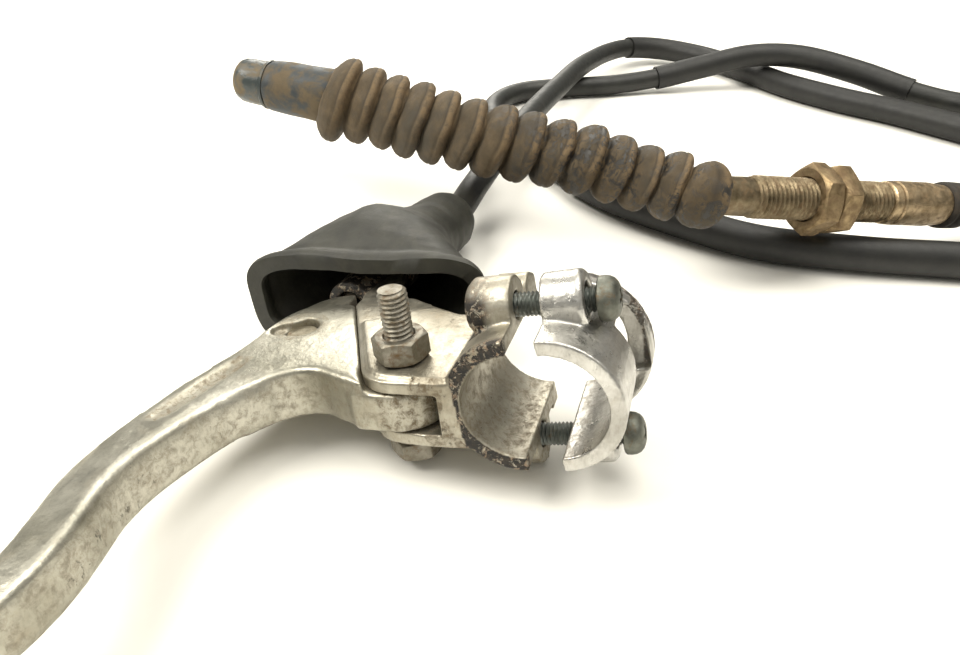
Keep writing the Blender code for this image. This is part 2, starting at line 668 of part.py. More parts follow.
def lever_side(parent):
    """Everything in the lever frame."""
    aluminium = material("cast_aluminium", (0.62, 0.61, 0.58), 0.38, 1.0)
    zinc = material("zinc_steel", (0.42, 0.41, 0.36), 0.45, 1.0)
    bronze = material("bronze", (0.45, 0.30, 0.14), 0.5, 1.0)
    rubber = material("black_rubber", (0.035, 0.036, 0.033), 0.62, 0.0)
    brass = material("brass", (0.55, 0.42, 0.18), 0.4, 1.0)
    bolt, washer, nut, bush = build_pivot()
    nipple, wire, adjuster, ring, ferrule = build_lever_end()
    settle(build_lever(), aluminium, parent, PIVOT)
    settle(build_perch(), aluminium, parent)
    settle(build_cap(), aluminium, parent)
    upper = split_direction((SCREW_X, SCREW_HEAD_Y, SCREW_Z))
    lower = split_direction((SCREW_X, SCREW_LOWER_HEAD_Y, -SCREW_Z))
    settle(build_clamp_screw("clamp_screw_upper", 1, SCREW_HEAD_Y), zinc, parent, upper)
    settle(build_clamp_screw("clamp_screw_lower", -1, SCREW_LOWER_HEAD_Y), zinc, parent, lower)
    for obj in (bolt, washer, nut):
        settle(obj, zinc, parent, PIVOT)
    settle(bush, bronze, parent, PIVOT)
    settle(nipple, brass, parent, NIPPLE)
    settle(wire, zinc, parent, NIPPLE)
    for obj in (adjuster, ring, ferrule):
        settle(obj, zinc, parent, on_cable(40.0))
    settle(build_boot(), rubber, parent)


def cable_side(parent):
    """Everything in the object's own frame."""
    casing = material("casing_black", (0.03, 0.031, 0.029), 0.5, 0.0)
    sleeve = material("sleeve_black", (0.022, 0.022, 0.021), 0.6, 0.0)
    plated = material("yellow_zinc", (0.42, 0.33, 0.19), 0.42, 1.0)
    gaiter = material("gaiter_rubber", (0.16, 0.115, 0.07), 0.75, 0.0)
    steel = material("grey_steel", (0.35, 0.37, 0.40), 0.4, 1.0)
    for tube in build_casing():
        settle(tube, sleeve if tube.name.startswith("sleeve") else casing, parent)
    adjuster, front, rear, ferrule, cap = build_engine_end()
    for obj in (adjuster, front, rear, ferrule):
        settle(obj, plated, parent, ENGINE_START)
    settle(cap, casing, parent, ENGINE_START)
    end_sleeve, fitting, wire = build_bellows_end()
    settle(build_bellows(), gaiter, parent, ENGINE_START)
    settle(end_sleeve, gaiter, parent, ENGINE_START)
    settle(fitting, steel, parent, ENGINE_START)
    settle(wire, steel, parent, ENGINE_START)


def main():
    clear_scene()
    table = empty("table_frame", TABLE_SHIFT, (0, 0, 0), None)
    tilt = (math.radians(TILT_X), math.radians(TILT_Y), 0.0)
    lever_frame = empty("lever_frame", ORIGIN, tilt, table)
    lever_side(lever_frame)
    cable_side(table)


main()
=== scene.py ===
"""Clutch lever assembly on a pale table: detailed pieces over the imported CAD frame.

Shapes are built in millimetres, either in the lever frame (X along the handlebar, Z along the
pivot bolt) or in the table frame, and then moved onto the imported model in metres.
"""

import math

import bmesh
import bpy
from mathutils import Euler, Matrix, Vector, noise


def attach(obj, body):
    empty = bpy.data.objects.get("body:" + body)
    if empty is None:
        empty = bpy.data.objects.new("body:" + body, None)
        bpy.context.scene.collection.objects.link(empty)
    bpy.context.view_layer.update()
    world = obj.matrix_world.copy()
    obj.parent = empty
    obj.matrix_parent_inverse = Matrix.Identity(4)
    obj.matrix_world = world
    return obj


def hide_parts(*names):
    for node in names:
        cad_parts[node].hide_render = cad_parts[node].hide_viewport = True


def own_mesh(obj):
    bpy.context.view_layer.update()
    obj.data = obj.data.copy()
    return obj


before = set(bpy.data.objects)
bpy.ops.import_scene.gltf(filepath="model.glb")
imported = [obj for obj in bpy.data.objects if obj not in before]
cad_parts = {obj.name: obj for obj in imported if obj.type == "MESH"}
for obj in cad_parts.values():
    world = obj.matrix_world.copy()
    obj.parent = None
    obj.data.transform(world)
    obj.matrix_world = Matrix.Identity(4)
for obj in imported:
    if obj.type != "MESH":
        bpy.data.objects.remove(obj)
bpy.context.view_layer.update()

UP = Vector((0, 0, 1))
MM = 0.001

# The lever frame on the table, as in the CAD.
TILT = Euler((math.radians(-8.11), math.radians(5.25), 0.0)).to_matrix()
TABLE_SHIFT = Vector((36.55, -26.945, 0.185))
LEVER_ORIGIN = Vector((0.0, 0.0, 21.72))
TABLE = Matrix.Scale(MM, 4) @ Matrix.Translation(TABLE_SHIFT)
LEVER = TABLE @ Matrix.Translation(LEVER_ORIGIN) @ TILT.to_4x4()

# The clamp's halves and screws are turned a little about the bar.
SPLIT = Matrix.Rotation(math.radians(-5.8), 4, "X")

PIVOT = Vector((-6.5, 24.8, 0.0))
NIPPLE = Vector((6.5, 55.2, -1.2))
CABLE_AXIS = Vector((math.cos(math.radians(7.0)), -math.sin(math.radians(7.0)), 0.04)).normalized()
ENGINE_START = Vector((82.5, -33.5, 27.7))
ENGINE_AXIS = Vector((0.5146, -0.8427, -0.1581)).normalized()

# Radii of the cable's casing, its loose sleeves and the nipple in the lever.
CASING_R = 4.5
SLEEVE_R = 5.5
NIPPLE_R = 3.95


# ---------------------------------------------------------------- mesh helpers

def in_scene(name, data):
    """A new object in the scene."""
    obj = bpy.data.objects.new(name, data)
    bpy.context.scene.collection.objects.link(obj)
    return obj


def new_object(name, bm):
    """An object in the scene from a bmesh."""
    mesh = bpy.data.meshes.new(name)
    bm.to_mesh(mesh)
    bm.free()
    return in_scene(name, mesh)


def loft(name, rings, closed_tube=False):
    """Skins equal rings of points; a closed tube joins the last ring to the first."""
    bm = bmesh.new()
    loops = [[bm.verts.new(point) for point in ring] for ring in rings]
    count = len(rings[0])
    pairs = list(zip(loops, loops[1:]))
    if closed_tube:
        pairs.append((loops[-1], loops[0]))
    else:
        bm.faces.new(list(reversed(loops[0])))
        bm.faces.new(loops[-1])
    for low, high in pairs:
        for i in range(count):
            j = (i + 1) % count
            bm.faces.new((low[i], low[j], high[j], high[i]))
    bmesh.ops.recalc_face_normals(bm, faces=bm.faces[:])
    return new_object(name, bm)


def prism(name, outline, bottom, top):
    """An outline in plan, raised between two heights."""
    return loft(name, [[Vector((p[0], p[1], z)) for p in outline] for z in (bottom, top)])


def around(axis):
    """Two directions square to an axis and to each other."""
    axis = axis.normalized()
    helper = UP if abs(axis.z) < 0.9 else Vector((1, 0, 0))
    side = axis.cross(helper).normalized()
    return side, axis.cross(side)


def spokes(axis, count, start=0.0):
    """Directions evenly round an axis, each with its angle."""
    side, other = around(axis)
    for i in range(count):
        angle = start + math.tau * i / count
        yield angle, math.cos(angle) * side + math.sin(angle) * other


def circle(centre, axis, radius, sides, start=0.0):
    """Points round an axis, from a start angle."""
    return [centre + radius * way for _, way in spokes(axis, sides, start)]


def turned(name, start, axis, profile, sides=64):
    """A solid of revolution from rows of distance along the axis and radius."""
    axis = axis.normalized()
    return loft(name, [circle(start + axis * s, axis, r, sides) for s, r in profile])


def turned_tube(name, start, axis, outer, inner, sides=64):
    """A hollow of revolution, from the rows of its outside and of its bore."""
    axis = axis.normalized()
    profile = list(outer) + list(reversed(inner))
    rings = [circle(start + axis * s, axis, r, sides) for s, r in profile]
    return loft(name, rings, closed_tube=True)


def apply_modifiers(obj):
    """Makes the modified shape the object's own mesh."""
    bpy.context.view_layer.update()
    evaluated = obj.evaluated_get(bpy.context.evaluated_depsgraph_get())
    mesh = bpy.data.meshes.new_from_object(evaluated)
    obj.modifiers.clear()
    obj.data = mesh


def carve(target, others, operation):
    """Boolean of the target with each other piece, which is used up."""
    for other in others:
        modifier = target.modifiers.new(other.name, "BOOLEAN")
        modifier.operation = operation
        modifier.solver = "EXACT"
        modifier.object = other
        apply_modifiers(target)
        bpy.data.objects.remove(other, do_unlink=True)


def soften(obj, voxel, rounds):
    """Remeshes evenly and smooths, which rounds every edge as a casting's are."""
    remesh = obj.modifiers.new("remesh", "REMESH")
    remesh.mode = "VOXEL"
    remesh.voxel_size = voxel
    smooth = obj.modifiers.new("smooth", "SMOOTH")
    smooth.factor = 0.5
    smooth.iterations = rounds
    apply_modifiers(obj)


def shift(obj, rule):
    """Moves every vertex by a rule of its place and normal."""
    normals = [vertex.normal.copy() for vertex in obj.data.vertices]
    places = [vertex.co.copy() for vertex in obj.data.vertices]
    moved = []
    for point, normal in zip(places, normals):
        moved.extend(point + rule(point, normal))
    obj.data.vertices.foreach_set("co", moved)
    obj.data.update()


def displace(obj, lift):
    """Moves every vertex along its normal by a rule of its place."""
    shift(obj, lambda point, normal: normal * lift(point))


def roughen(obj, amount, scale):
    """Moves the surface in and out a little, as a sand casting's wanders."""
    displace(obj, lambda p: amount * (noise.noise(p * scale) + 0.5 * noise.noise(p * scale * 2.7)))


def bevelled(obj, width, angle):
    """Rounds the edges sharper than an angle."""
    modifier = obj.modifiers.new("bevel", "BEVEL")
    modifier.width = width
    modifier.segments = 2
    modifier.limit_method = "ANGLE"
    modifier.angle_limit = math.radians(angle)
    apply_modifiers(obj)
    return obj


def cad_copy(name, node, to_mm):
    """A copy of a CAD node's mesh, in millimetres in the given frame."""
    bm = bmesh.new()
    bm.from_mesh(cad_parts[node].data)
    bmesh.ops.transform(bm, matrix=to_mm, verts=bm.verts)
    bmesh.ops.remove_doubles(bm, verts=bm.verts, dist=0.001)
    return new_object(name, bm)


def join(name, objects):
    """One mesh object from several."""
    bm = bmesh.new()
    for obj in objects:
        bm.from_mesh(obj.data)
        bpy.data.objects.remove(obj, do_unlink=True)
    return new_object(name, bm)


def place(obj, matrix, body, made, nodes=(), angle=None):
    """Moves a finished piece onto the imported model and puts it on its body."""
    obj.data.transform(matrix)
    obj.data.materials.clear()
    obj.data.materials.append(made)
    if obj.type == "MESH":
        obj.data.shade_smooth()
        if angle is not None:
            obj.data.set_sharp_from_angle(angle=math.radians(angle))
    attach(obj, body)
    if nodes:
        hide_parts(*nodes)
    return obj


def smooth_path(points, per_span):
    """A Catmull-Rom curve through the points."""
    points = [Vector(p) for p in points]
    ends = [2 * points[0] - points[1]] + points + [2 * points[-1] - points[-2]]
    path = []
    for a, b, c, d in zip(ends, ends[1:], ends[2:], ends[3:]):
        for i in range(per_span):
            t = i / per_span
            path.append(0.5 * ((2 * b) + (c - a) * t + (2 * a - 5 * b + 4 * c - d) * t * t
                               + (3 * b - a - 3 * c + d) * t ** 3))
    path.append(points[-1])
    return path


def evenly(path, step):
    """The path again, in equal steps of about the given length."""
    lengths = [0.0]
    for a, b in zip(path, path[1:]):
        lengths.append(lengths[-1] + (b - a).length)
    count = max(2, round(lengths[-1] / step))
    result = []
    index = 0
    for i in range(count + 1):
        goal = lengths[-1] * i / count
        while index < len(lengths) - 2 and lengths[index + 1] < goal:
            index += 1
        t = (goal - lengths[index]) / (lengths[index + 1] - lengths[index])
        result.append(path[index].lerp(path[index + 1], t))
    return result


def heading(path, i, reach=1):
    """The way a path runs at one of its points."""
    return path[min(i + reach, len(path) - 1)] - path[max(i - reach, 0)]


def interpolate(stations, x):
    """Values at x from rows that start with x, in proportion between rows."""
    for low, high in zip(stations, stations[1:]):
        if x <= high[0]:
            t = max(0.0, (x - low[0]) / (high[0] - low[0]))
            return [a + (b - a) * t for a, b in zip(low, high)]
    return list(stations[-1])


def ramp_between(value, low, high):
    """0 below low, 1 above high, straight between."""
    return min(1.0, max(0.0, (value - low) / (high - low)))


def threaded(name, start, axis, radius, pitch, length, depth, sides=40):
    """A rod with a real helical thread and chamfered ends."""
    steps = round(length / pitch * 8)
    rings = []
    for k in range(steps + 1):
        s = length * k / steps
        taper = min(1.0, s / pitch, (length - s) / pitch)
        ring = []
        for angle, way in spokes(axis, sides):
            wave = abs(((s / pitch - angle / math.tau) % 1.0) * 2.0 - 1.0)
            groove = depth * min(1.0, max(0.0, wave * 1.25 - 0.12))
            r = radius - groove - (1.0 - taper) * depth * 0.6
            ring.append(start + axis * s + way * r)
        rings.append(ring)
    return loft(name, rings)


def hex_piece(name, start, axis, across_flats, length, hole_r, turn):
    """A nut or bolt head: hexagon with the round chamfer that turning leaves on its faces."""
    corner = across_flats / math.sqrt(3.0)
    body = loft(name, [circle(start + axis * s, axis, corner, 6, turn) for s in (0.0, length)])
    cut = (corner - across_flats * 0.485) * 0.62
    inner = across_flats * 0.475
    cone = ((-0.01, inner), (cut, corner + 0.05), (length - cut, corner + 0.05), (length + 0.01, inner))
    carve(body, [turned("cone", start, axis, cone, 96)], "INTERSECT")
    if hole_r:
        drill = ((-1.0, hole_r + 0.9), (0.45, hole_r), (length - 0.45, hole_r),
                 (length + 1.0, hole_r + 0.9))
        carve(body, [turned("drill", start, axis, drill, 64)], "DIFFERENCE")
    return bevelled(body, 0.16, 25.0)


# ---------------------------------------------------------------- materials

class Finish:
    """A procedural material: helpers that add texture nodes to one Principled shader."""

    def __init__(self, name, roughness, metallic):
        self.material = bpy.data.materials.new(name)
        self.material.use_nodes = True
        self.tree = self.material.node_tree
        self.shader = self.tree.nodes["Principled BSDF"]
        self.shader.inputs["Metallic"].default_value = metallic
        self.shader.inputs["Roughness"].default_value = roughness
        self.coordinates = self.tree.nodes.new("ShaderNodeTexCoord").outputs["Object"]

    def node(self, kind, **inputs):
        made = self.tree.nodes.new(kind)
        for key, value in inputs.items():
            self.set(made, key.replace("_", " "), value)
        return made

    def set(self, node, key, value):
        if isinstance(value, bpy.types.NodeSocket):
            self.tree.links.new(value, node.inputs[key])
        else:
            node.inputs[key].default_value = value

    def noise(self, size_mm, detail=4.0, roughness=0.55, distortion=0.0, stretch=None):
        """Noise whose features are about size_mm across, from 0 to 1."""
        vector = self.coordinates
        if stretch:
            mapping = self.node("ShaderNodeMapping", Vector=vector, Scale=stretch)
            vector = mapping.outputs[0]
        made = self.node("ShaderNodeTexNoise", Vector=vector, Scale=1000.0 / size_mm, Detail=detail,
                         Roughness=roughness, Distortion=distortion)
        return made.outputs["Fac"]

    def steps(self, value, low, high):
        """Turns a value into 0 below low and 1 above high."""
        made = self.node("ShaderNodeMapRange", Value=value)
        made.inputs["From Min"].default_value = low
        made.inputs["From Max"].default_value = high
        return made.outputs[0]

    def math(self, operation, a, b):
        made = self.tree.nodes.new("ShaderNodeMath")
        made.operation = operation
        made.use_clamp = True
        self.set(made, 0, a)
        self.set(made, 1, b)
        return made.outputs[0]

    def times(self, a, b):
        return self.math("MULTIPLY", a, b)

    def mask(self, name):
        made = self.tree.nodes.new("ShaderNodeAttribute")
        made.attribute_name = name
        return made.outputs["Fac"]

    def ramp(self, value, *stops):
        made = self.node("ShaderNodeValToRGB", Fac=value)
        elements = made.color_ramp.elements
        while len(elements) < len(stops):
            elements.new(0.5)
        for element, (position, color) in zip(elements, stops):
            element.position = position
            element.color = (*color, 1.0)
        return made.outputs["Color"]

    def mix(self, factor, a, b):
        made = self.tree.nodes.new("ShaderNodeMix")
        made.data_type = "RGBA"
        self.set(made, 0, factor)
        for index, value in ((6, a), (7, b)):
            self.set(made, index, (*value, 1.0) if isinstance(value, tuple) else value)
        return made.outputs[2]

    def blend(self, factor, a, b):
        made = self.tree.nodes.new("ShaderNodeMix")
        made.data_type = "FLOAT"
        self.set(made, 0, factor)
        self.set(made, 2, a)
        self.set(made, 3, b)
        return made.outputs[0]

    def bump(self, height, depth_mm):
        made = self.node("ShaderNodeBump", Height=height, Distance=depth_mm * MM)
        made.inputs["Strength"].default_value = 1.0
        return made.outputs["Normal"]

    def finish(self, color=None, roughness=None, metallic=None, normal=None):
        sockets = (("Base Color", color), ("Roughness", roughness), ("Metallic", metallic),
                   ("Normal", normal))
        for key, value in sockets:
            if value is not None:
                self.set(self.shader, key, value)
        return self.material


def cast_aluminium(name, bright, dark, dirt_amount, base_rough):
    """Worn satin casting: soft tone changes, tan film, dark pits, brown grime that also paints shade where
    the mask says, and flaking paint where masked.
    """
    f = Finish(name, base_rough, 1.0)
    tone = f.ramp(f.noise(19.0, 4.0, 0.55), (0.34, dark), (0.62, bright))
    grain = f.noise(0.6, 3.0, 0.6, stretch=(1.0, 1.0, 0.35))
    tone = f.mix(f.times(f.steps(grain, 0.50, 0.80), 0.35), tone, (0.16, 0.15, 0.125))
    film = f.times(f.steps(f.noise(6.0, 8.0, 0.7, 0.5), 0.52, 0.72), dirt_amount)
    tone = f.mix(film, tone, (0.30, 0.245, 0.160))
    # Brown grime where the mask is high: real dirt in places, and painted shade on side faces, undersides
    # and between parts.
    grime = f.math("ADD", 0.22, f.times(0.78, f.steps(f.noise(2.0, 8.0, 0.75, 0.4), 0.46, 0.62)))
    grime = f.times(f.mask("dirt_and_shade"), grime)
    tone = f.mix(grime, tone, (0.155, 0.120, 0.075))
    pits = f.steps(f.noise(1.5, 9.0, 0.78, 0.3, (1.0, 1.0, 0.5)), 0.585, 0.64)
    pits = f.times(pits, f.steps(f.noise(13.0, 3.0), 0.46, 0.60))
    # Pits gather where that mask is high, so they also deepen the painted shade.
    pits = f.times(pits, f.math("ADD", f.mask("dirt_and_shade"), 0.25))
    tone = f.mix(pits, tone, (0.030, 0.026, 0.018))
    metallic = f.blend(grime, f.blend(film, 1.0, 0.6), 0.35)
    rough = f.blend(f.noise(5.0, 6.0, 0.65), base_rough - 0.14, base_rough + 0.16)
    rough = f.blend(grime, rough, 0.72)
    height = f.blend(pits, f.noise(0.9, 4.0, 0.6), 0.0)
    left = f.steps(f.noise(1.9, 9.0, 0.74, 0.5), 0.435, 0.475)
    paint = f.times(f.mask("paint"), left)
    rust = f.times(f.mask("paint"), f.steps(f.noise(1.2, 6.0, 0.7), 0.44, 0.60))
    tone = f.mix(f.times(rust, 0.8), tone, (0.20, 0.105, 0.045))
    tone = f.mix(paint, tone, f.ramp(f.noise(1.0, 5.0, 0.7), (0.45, (0.006, 0.0055, 0.005)),
                                     (0.80, (0.070, 0.050, 0.030))))
    metallic = f.blend(f.math("MAXIMUM", paint, rust), metallic, 0.0)
    rough = f.blend(paint, rough, 0.66)
    height = f.blend(paint, height, 1.0)
    return f.finish(tone, rough, metallic, f.bump(height, 0.09))


def dull_zinc(name, light, dark, rust, rough):
    """Plated metal gone dull, with brown grime in patches; rust sets how much of it."""
    f = Finish(name, rough, 1.0)
    tone = f.ramp(f.noise(3.0, 5.0, 0.62), (0.3, dark), (0.7, light))
    grime = f.steps(f.noise(2.2, 7.0, 0.7, 0.4), 0.62 - rust * 0.3, 0.80 - rust * 0.25)
    tone = f.mix(grime, tone, (0.15, 0.095, 0.045))
    metallic = f.blend(grime, 1.0, 0.25)
    roughness = f.blend(grime, f.blend(f.noise(1.3, 4.0), rough - 0.12, rough + 0.15), 0.8)
    return f.finish(tone, roughness, metallic, f.bump(f.noise(0.6, 4.0, 0.6), 0.06))


def rubber(name, light, dark, rough, dust, dust_color):
    """Black rubber or plastic with soft tone changes and a dusty film in patches."""
    f = Finish(name, rough, 0.0)
    tone = f.ramp(f.noise(7.0, 5.0, 0.6), (0.3, dark), (0.72, light))
    worn = f.steps(f.noise(11.0, 8.0, 0.7, 0.5), 0.56, 0.80)
    tone = f.mix(f.times(worn, dust), tone, dust_color)
    roughness = f.blend(f.noise(2.5, 5.0), rough - 0.10, rough + 0.16)
    return f.finish(tone, roughness, None, f.bump(f.noise(0.8, 5.0, 0.65), 0.07))


def muddy(name, under, mud, size_mm, rough=0.7):
    """A dark surface with a skin of dried mud over about half of it."""
    f = Finish(name, rough, 0.0)
    skin = f.steps(f.noise(size_mm, 6.0, 0.62, 0.3), 0.44, 0.56)
    base = f.mix(f.noise(3.0, 5.0, 0.6), under, tuple(c * 0.5 for c in under))
    dried = f.mix(f.noise(2.4, 6.0, 0.7), mud, tuple(c * 0.55 for c in mud))
    tone = f.mix(skin, base, dried)
    return f.finish(tone, f.blend(skin, rough - 0.15, 0.85), None, f.bump(f.noise(1.1, 5.0, 0.65), 0.10))


def gaiter_rubber(name):
    """Dried mud over black rubber: paler on each fold's lip and more so on its upper side as a painted
    highlight, a painted shadow line behind each lip, flaked off in dark patches.
    """
    f = Finish(name, 0.8, 0.0)
    mud = f.ramp(f.noise(7.0, 7.0, 0.62), (0.28, (0.040, 0.028, 0.0135)), (0.52, (0.075, 0.052, 0.026)),
                 (0.76, (0.124, 0.087, 0.046)))
    grey = f.times(f.steps(f.noise(13.0, 4.0, 0.6), 0.46, 0.66), 0.75)
    tone = f.mix(grey, mud, (0.044, 0.037, 0.025))
    # Paler mud on each lip; the mask is stronger on the upper side, which paints a highlight there.
    lip_mud_and_highlight = f.times(f.mask("lip_mud_and_highlight"), f.steps(f.noise(2.6, 6.0, 0.7), 0.30, 0.55))
    tone = f.mix(f.times(lip_mud_and_highlight, 0.75), tone, (0.180, 0.120, 0.060))
    flakes = f.steps(f.noise(3.0, 9.0, 0.78, 0.8), 0.485, 0.530)
    flakes = f.times(flakes, f.steps(f.noise(14.0, 3.0), 0.38, 0.50))
    flakes = f.times(flakes, f.mask("flaked"))
    tone = f.mix(flakes, tone, (0.020, 0.017, 0.013))
    # A dark line behind each lip on the upper side: the lip's painted shadow on the next fold.
    line = f.times(f.mask("crest"), 0.60)
    tone = f.mix(line, tone, (0.018, 0.014, 0.010))
    rough = f.blend(flakes, 0.85, 0.50)
    height = f.blend(flakes, f.noise(1.2, 6.0, 0.7), 0.0)
    return f.finish(tone, rough, None, f.bump(height, 0.16))


ALUMINIUM_LEVER = cast_aluminium("lever_aluminium", (0.60, 0.58, 0.50), (0.36, 0.345, 0.28), 0.42, 0.34)
ALUMINIUM_PERCH = cast_aluminium("perch_aluminium", (0.52, 0.495, 0.42), (0.31, 0.285, 0.225), 0.60, 0.38)
ALUMINIUM_CAP = cast_aluminium("cap_aluminium", (0.64, 0.63, 0.60), (0.38, 0.37, 0.34), 0.30, 0.26)
ZINC_BOLT = dull_zinc("bolt_zinc", (0.33, 0.31, 0.265), (0.17, 0.155, 0.12), 0.45, 0.50)
ZINC_SCREW = dull_zinc("screw_zinc", (0.30, 0.32, 0.30), (0.14, 0.15, 0.14), 0.22, 0.42)
SCREW_HEAD = dull_zinc("screw_head_olive", (0.20, 0.205, 0.175), (0.09, 0.093, 0.078), 0.28, 0.50)
BRASS = dull_zinc("nipple_brass", (0.38, 0.345, 0.265), (0.22, 0.195, 0.145), 0.35, 0.45)
DARK_STEEL = dull_zinc("grimed_steel", (0.045, 0.043, 0.038), (0.018, 0.017, 0.015), 0.5, 0.60)
CRIMP_ZINC = dull_zinc("crimp_zinc", (0.52, 0.400, 0.255), (0.25, 0.180, 0.100), 0.42, 0.34)
THREAD_ZINC = dull_zinc("thread_zinc", (0.27, 0.215, 0.138), (0.100, 0.078, 0.046), 0.50, 0.45)
YELLOW_ZINC = dull_zinc("yellow_zinc", (0.36, 0.270, 0.155), (0.150, 0.102, 0.052), 0.55, 0.42)
BOOT_RUBBER = rubber("boot_rubber_worn", (0.031, 0.030, 0.021), (0.012, 0.012, 0.009), 0.58, 0.34,
                     (0.080, 0.070, 0.046))
CASING_BLACK = rubber("casing_cover", (0.018, 0.0185, 0.015), (0.008, 0.0085, 0.0075), 0.46, 0.22,
                      (0.075, 0.060, 0.035))
SLEEVE_BLACK = rubber("outer_sleeve", (0.014, 0.014, 0.012), (0.006, 0.006, 0.006), 0.50, 0.14,
                      (0.06, 0.052, 0.036))
CUFF_MUD = muddy("cuff_mud", (0.030, 0.038, 0.042), (0.135, 0.100, 0.056), 10.0)
FITTING_MUD = muddy("fitting_mud", (0.050, 0.062, 0.062), (0.185, 0.140, 0.080), 9.0, 0.45)
CAP_RUBBER = rubber("ferrule_cap_rubber", (0.034, 0.027, 0.019), (0.012, 0.010, 0.008), 0.75, 0.5,
                    (0.12, 0.075, 0.035))
GAITER = gaiter_rubber("gaiter_mud")


# ---------------------------------------------------------------- masks

def paint_masks(obj, rule):
    """Writes the dirt-and-shade and paint masks from a rule of place and normal; the first holds real dirt
    and painted shade together.
    """
    dirt_and_shade = obj.data.attributes.new("dirt_and_shade", "FLOAT", "POINT")
    paint = obj.data.attributes.new("paint", "FLOAT", "POINT")
    dirt_and_shade_values = []
    paints = []
    for vertex in obj.data.vertices:
        d, p = rule(vertex.co, vertex.normal)
        dirt_and_shade_values.append(min(1.0, max(0.0, d)))
        paints.append(min(1.0, max(0.0, p)))
    dirt_and_shade.data.foreach_set("value", dirt_and_shade_values)
    paint.data.foreach_set("value", paints)


# ---------------------------------------------------------------- lever

def slot_outline(a, b, radius, steps=10):
    """A slot with round ends, in plan."""
    way = Vector((b[0] - a[0], b[1] - a[1]))
    facing = math.atan2(way.y, way.x)
    points = []
    for centre, start in ((b, facing - math.pi / 2), (a, facing + math.pi / 2)):
        for i in range(steps + 1):
            angle = start + math.pi * i / steps
            points.append((centre[0] + radius * math.cos(angle), centre[1] + radius * math.sin(angle)))
    return points


# How much fuller the blade's far side is, the ends of the long pocket's middle line, its half
# width and depth, and the rounds of smoothing on the two edges.
BLADE_EXTRA = 2.2
POCKET_START = Vector((-31.5, 66.7, 0.0))
POCKET_END = Vector((-8.9, 60.7, 0.0))
POCKET_R = 2.1
POCKET_DEPTH = 1.0
FINGER_EDGE_ROUNDS = 24
BACK_EDGE_ROUNDS = 16


def lever_rule(point, normal):
    """Dirt in the pocket and round the nipple; painted shade between the ears round the pivot, on the sides
    and underneath.
    """
    from_pivot = math.hypot(point.x - PIVOT.x, point.y - PIVOT.y)
    # A little grime everywhere, plus painted shade that makes the side faces darker than the top.
    dirt_and_shade = 0.10 + 0.45 * (1.0 - abs(normal.z))
    # Painted shade between the ears round the pivot.
    if from_pivot < 9.2:
        dirt_and_shade = 1.0
    along = ramp_between(point.x, POCKET_START.x, -8.5)
    if abs(point.y - 67.0 + 6.4 * along) < 2.0 and -32.5 < point.x < -7.5 and normal.z > 0.6:
        dirt_and_shade = 1.0
    if math.hypot(point.x - NIPPLE.x, point.y - NIPPLE.y) < 6.5:
        dirt_and_shade = max(dirt_and_shade, 0.75)
    # Painted shade underneath.
    if normal.z < -0.5:
        dirt_and_shade = 0.8
    return dirt_and_shade, 0.0


def blade_fullness(point, normal):
    """The casting is fuller than the plain CAD blade along the side away from the rider."""
    extra = BLADE_EXTRA * ramp_between(-point.x, 6.0, 20.0) * (1.0 - ramp_between(-point.x, 70.0, 125.0))
    return Vector((0.0, extra * ramp_between(normal.y, 0.05, 0.4), 0.0))


def smooth_where(obj, rounds, rule):
    """Evens out the part of a fine mesh that the rule picks."""
    bm = bmesh.new()
    bm.from_mesh(obj.data)
    picked = [vert for vert in bm.verts if rule(vert.co)]
    for _ in range(rounds):
        bmesh.ops.smooth_vert(bm, verts=picked, factor=0.5,
                              use_axis_x=True, use_axis_y=True, use_axis_z=True)
    bm.to_mesh(obj.data)
    bm.free()


def long_pocket(lever, start, end, radius, depth):
    """A slot-shaped cutter whose floor stays at the same depth below the blade's top."""
    way = (end - start).normalized()
    across = UP.cross(way)
    rings = []
    for k in range(25):
        t = k / 24
        point = start.lerp(end, t)
        _, place_at, _, _ = lever.ray_cast(point + UP * 40.0, -UP)
        floor = place_at.z - depth * math.sin(math.pi * min(max(t, 0.02), 0.98)) ** 0.35
        near_end = min(t, 1.0 - t) * (end - start).length
        half = math.sqrt(max(0.04, radius ** 2 - max(0.0, radius - near_end) ** 2))
        rings.append([Vector((point.x, point.y, z)) + across * side
                      for side, z in ((-half, 9.0), (-half, floor + 0.4), (-half * 0.7, floor),
                                      (half * 0.7, floor), (half, floor + 0.4), (half, 9.0))])
    return loft("pocket", rings)


